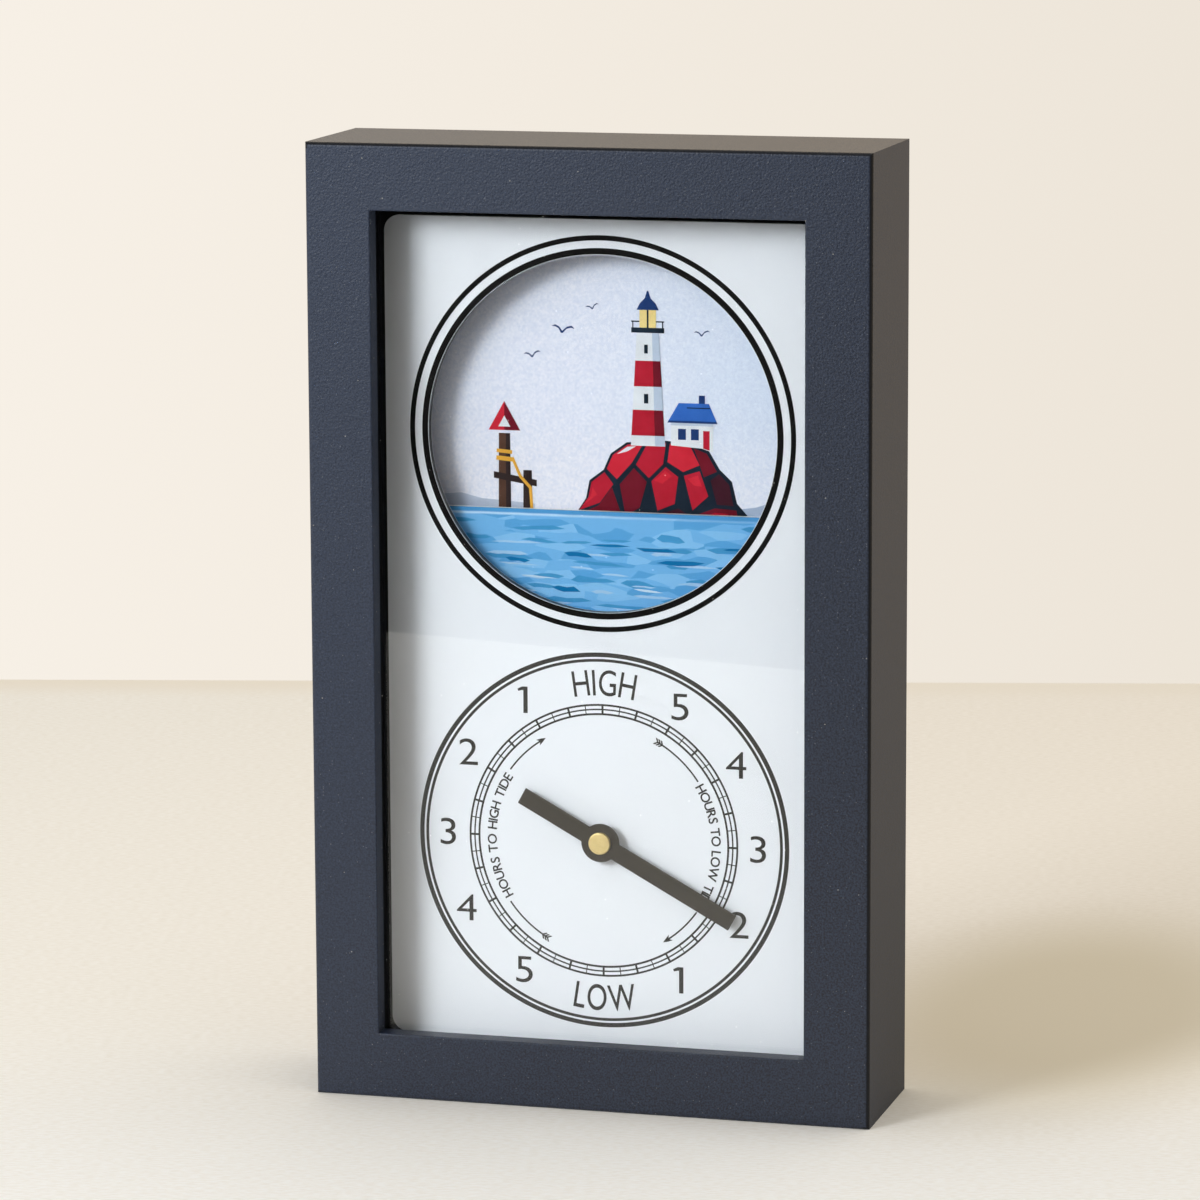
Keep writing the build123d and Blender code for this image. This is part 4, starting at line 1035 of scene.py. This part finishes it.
# each layer: its name, how far forward it lies, and its shapes as ink and outline
layers = [("farCoast", 0, [
    ("HazeFar", [(-60, 172), (-60, 190.5), (-54, 191.4), (-47, 190.2), (-41, 190.8), (-35, 189.4),
         (-28, 189), (-20, 188.4), (-20, 172)]),
]), ("nearCoast", 1, [
    ("Haze", [(60, 172), (60, 191.5), (55, 192.6), (50, 191.2), (46, 191), (42, 189.6), (36, 188.8),
         (36, 172)]),
]), ("rockMass", 2, [
    ("NavyShade", [(-9, 172), (-8.5, 186), (-5.5, 190.5), (-4.5, 195.5), (-0.5, 198.5), (1.5, 203),
         (6, 206.2), (17, 207), (24, 206.4), (29, 204.6), (32, 199.6), (35.4, 196.4), (36.8, 190.5),
         (40, 187), (41, 172)]),
]), ("rockFacets", 3, [
    ("Crimson", [(-7.4, 187.2), (-4.8, 190.8), (-3.9, 195), (-0.3, 197.8), (2.2, 194.6), (-1.6, 189.4)]),
    ("DarkRed", [(-8, 174), (-7.8, 186), (-2, 188.6), (1.8, 193.8), (4.2, 187), (2.4, 174)]),
    ("BrightRed", [(0.4, 198.8), (2.1, 202.6), (6.3, 205.6), (10.6, 205.9), (7.4, 200.6), (3.2, 196)]),
    ("Crimson", [(8.6, 200.2), (11.8, 206), (17, 206.4), (16.2, 200.6), (12.2, 196.6)]),
    ("DarkRed", [(4, 194.6), (8, 199.2), (11.6, 195.6), (9.6, 188.4), (5.6, 186.2)]),
    ("Crimson", [(12.9, 195.8), (16.9, 199.8), (20.4, 197.2), (19.4, 189.8), (14.6, 187.8)]),
    ("BrightRed", [(17.4, 201.2), (18.1, 206.2), (23.8, 205.6), (26.4, 200.6), (21.8, 198.6)]),
    ("DarkRed", [(24.8, 205.2), (28.4, 203.8), (31.2, 199), (27.6, 197.4)]),
    ("Crimson", [(22, 197.6), (26.4, 199), (28.8, 192.2), (24.4, 188.2)]),
    ("Plum", [(29.4, 196.6), (31.8, 198.4), (34.6, 195.6), (35.8, 189.8), (31.2, 190)]),
    ("DarkRed", [(5.2, 174), (6, 185), (10.6, 187.4), (13, 174)]),
    ("Plum", [(14, 174), (14.4, 186.6), (20.4, 188.6), (24, 186.4), (22, 174)]),
    ("DarkRed", [(24, 174), (25.4, 187), (30.6, 189), (36.6, 188.6), (38.6, 180), (38, 174)]),
]), ("rockGleams", 4, [
    ("BrightRed", [(-6.4, 188.4), (-4.3, 191), (-3.6, 193.6), (-2.4, 191.6)]),
    ("White", [(3.2, 202.9), (6.2, 205), (8.6, 205.2), (6.1, 203.7)]),
    ("BrightRed", [(13.7, 196), (16.8, 198.8), (18.6, 197.4), (16, 195.2)]),
    ("BrightRed", [(23, 196.8), (25.9, 197.8), (27, 194.8), (24.8, 195)]),
    ("BrightRed", [(-6.6, 184.6), (-2, 187.4), (-3.4, 184.4)]),
    ("Crimson", [(26.4, 186.2), (30.8, 187.8), (34.6, 187.6), (31, 185.8)]),
]), ("towerBody", 5, [
    ("White", [(7.2, 205.4), (8.9, 236.2), (15.1, 236.2), (16.8, 205.4)]),
]), ("towerBands", 6, [
    ("Crimson", [(7.35, 208.2), (7.75, 215.2), (16.25, 215.2), (16.65, 208.2)]),
    ("Crimson", [(8.1, 221.6), (8.48, 228.6), (15.52, 228.6), (15.9, 221.6)]),
    ("NavyShade", bar(7.4, 236.2, 16.6, 237.6)),
    ("LampGlow", bar(9.7, 237.6, 14.3, 242.4)),
    ("DeepBlue", [(8.9, 242.4), (9.8, 244.2), (11.2, 245.6), (11.8, 247.6), (12.2, 247.6), (12.8, 245.6),
         (14.2, 244.2), (15.1, 242.4)]),
]), ("towerShade", 7, [
    ("DarkRed", [(13.9, 208.2), (13.7, 215.2), (16.25, 215.2), (16.65, 208.2)]),
    ("DarkRed", [(13.6, 221.6), (13.4, 228.6), (15.52, 228.6), (15.9, 221.6)]),
    ("ShadeWhite", [(13.7, 215.2), (13.6, 221.6), (15.9, 221.6), (16.25, 215.2)]),
    ("ShadeWhite", [(13.4, 228.6), (13.2, 236.2), (15.1, 236.2), (15.52, 228.6)]),
    ("ShadeWhite", [(14, 205.4), (13.9, 208.2), (16.65, 208.2), (16.8, 205.4)]),
    ("NavyShade", bar(10.9, 217, 12.1, 219.6)),
    ("NavyShade", bar(11, 230.6, 12, 233)),
    ("NavyShade", bar(11.75, 237.6, 12.25, 242.4)),
    ("NavyShade", bar(7.7, 237.6, 8, 239.2)),
    ("NavyShade", bar(16, 237.6, 16.3, 239.2)),
    ("NavyShade", bar(7.4, 239.1, 9.7, 239.45)),
    ("NavyShade", bar(14.3, 239.1, 16.6, 239.45)),
]), ("keepersHouse", 5, [
    ("White", [(18.4, 205.8), (18.4, 212), (30.2, 212), (30.2, 204.2), (27, 205.2)]),
    ("Blue", [(17.4, 212), (20.6, 217.4), (29, 217.4), (31.4, 212)]),
    ("DeepBlue", bar(26.2, 217.4, 27.9, 219.6)),
]), ("houseDetails", 6, [
    ("DeepBlue", bar(20.4, 207.4, 22.6, 210.4)),
    ("DeepBlue", bar(24, 207.4, 26.2, 210.4)),
    ("Crimson", [(27.4, 205.2), (27.4, 210), (29.2, 210), (29.2, 204.7)]),
    ("ShadeWhite", bar(18.4, 211.3, 30.2, 212)),
    ("DeepBlue", [(17.4, 212), (17.75, 212.6), (31.15, 212.6), (31.4, 212)]),
    ("NavyShade", bar(22.9, 216, 29.4, 216.3)),
]), ("tidePile", 3, [
    ("Timber", [(-30.4, 172), (-30.1, 207.6), (-26.9, 207.6), (-26.6, 172)]),
    ("TimberDark", [(-23.4, 172), (-23.2, 197.6), (-20.8, 197.6), (-20.6, 172)]),
]), ("pileMark", 4, [
    ("TimberDark", [(-28.2, 172), (-28.1, 207.6), (-26.9, 207.6), (-26.6, 172)]),
    ("BrightRed", [(-33, 208.4), (-28.5, 216.4), (-24, 208.4)]),
]), ("markShade", 5, [
    ("DarkRed", [(-28.5, 208.4), (-28.5, 216.4), (-24, 208.4)]),
    ("TimberDark", [(-31.6, 195.2), (-31.6, 197), (-19.4, 195), (-19.4, 193.2)]),
    ("Yellow", [(-30.9, 200.2), (-30.8, 201.4), (-26.2, 201), (-26.3, 199.8)]),
    ("Yellow", [(-30.8, 202.3), (-30.7, 203.3), (-26.3, 202.9), (-26.4, 201.9)]),
]), ("markRope", 6, [
    ("White", [(-30.2, 209.4), (-28.5, 212.4), (-26.8, 209.4)]),
    ("Yellow", [(-26.6, 200.6), (-24.4, 195.6), (-21.6, 192.6), (-21.2, 186.4), (-20.4, 186.4),
         (-20.8, 193), (-23.8, 196.2), (-26, 201.2)]),
])]

gull = [(-3.2, 0.9), (-2.2, 1.5), (-1, 1.1), (0, 0.1), (1.1, 1.4), (2.4, 1.9), (3.4, 1.2), (2.3, 1.35),
        (1.1, 0.8), (0.2, -0.5), (-0.3, -0.5), (-1.1, 0.6), (-2.2, 1)]
flight = [(-12, 236, 1, -0.15), (-20.5, 229, 0.75, 0.1), (-3.5, 242.5, 0.6, 0.2), (27, 236, 0.7, 0)]


def grown(points):
    return [(shore["middle"] + (x - shore["middle"]) * shore["grow"],
             shore["water"] + (z - shore["water"]) * shore["grow"]) for x, z in points]


def lean(points, x, z, scale, angle):
    return [(x + scale * (px * math.cos(angle) - pz * math.sin(angle)),
             z + scale * (px * math.sin(angle) + pz * math.cos(angle))) for px, pz in points]


def paintShore():
    for colour, values in inks.items():
        printFinish("print" + colour, values, shore["spread"])
    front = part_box("scene_card")[0].y
    step = shore["layer"] * mm
    gulls = ("gulls", 2, [("DeepBlue", lean(gull, *bird)) for bird in flight])
    for name, level, shapes in layers + [gulls]:
        made = [flatShape(grown(points), front - level * step, finishes["print" + colour])
                for colour, points in shapes]
        piece = makePiece(made, name, step)
        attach(piece, "root")


paintShore()
print("the shore picture is printed")
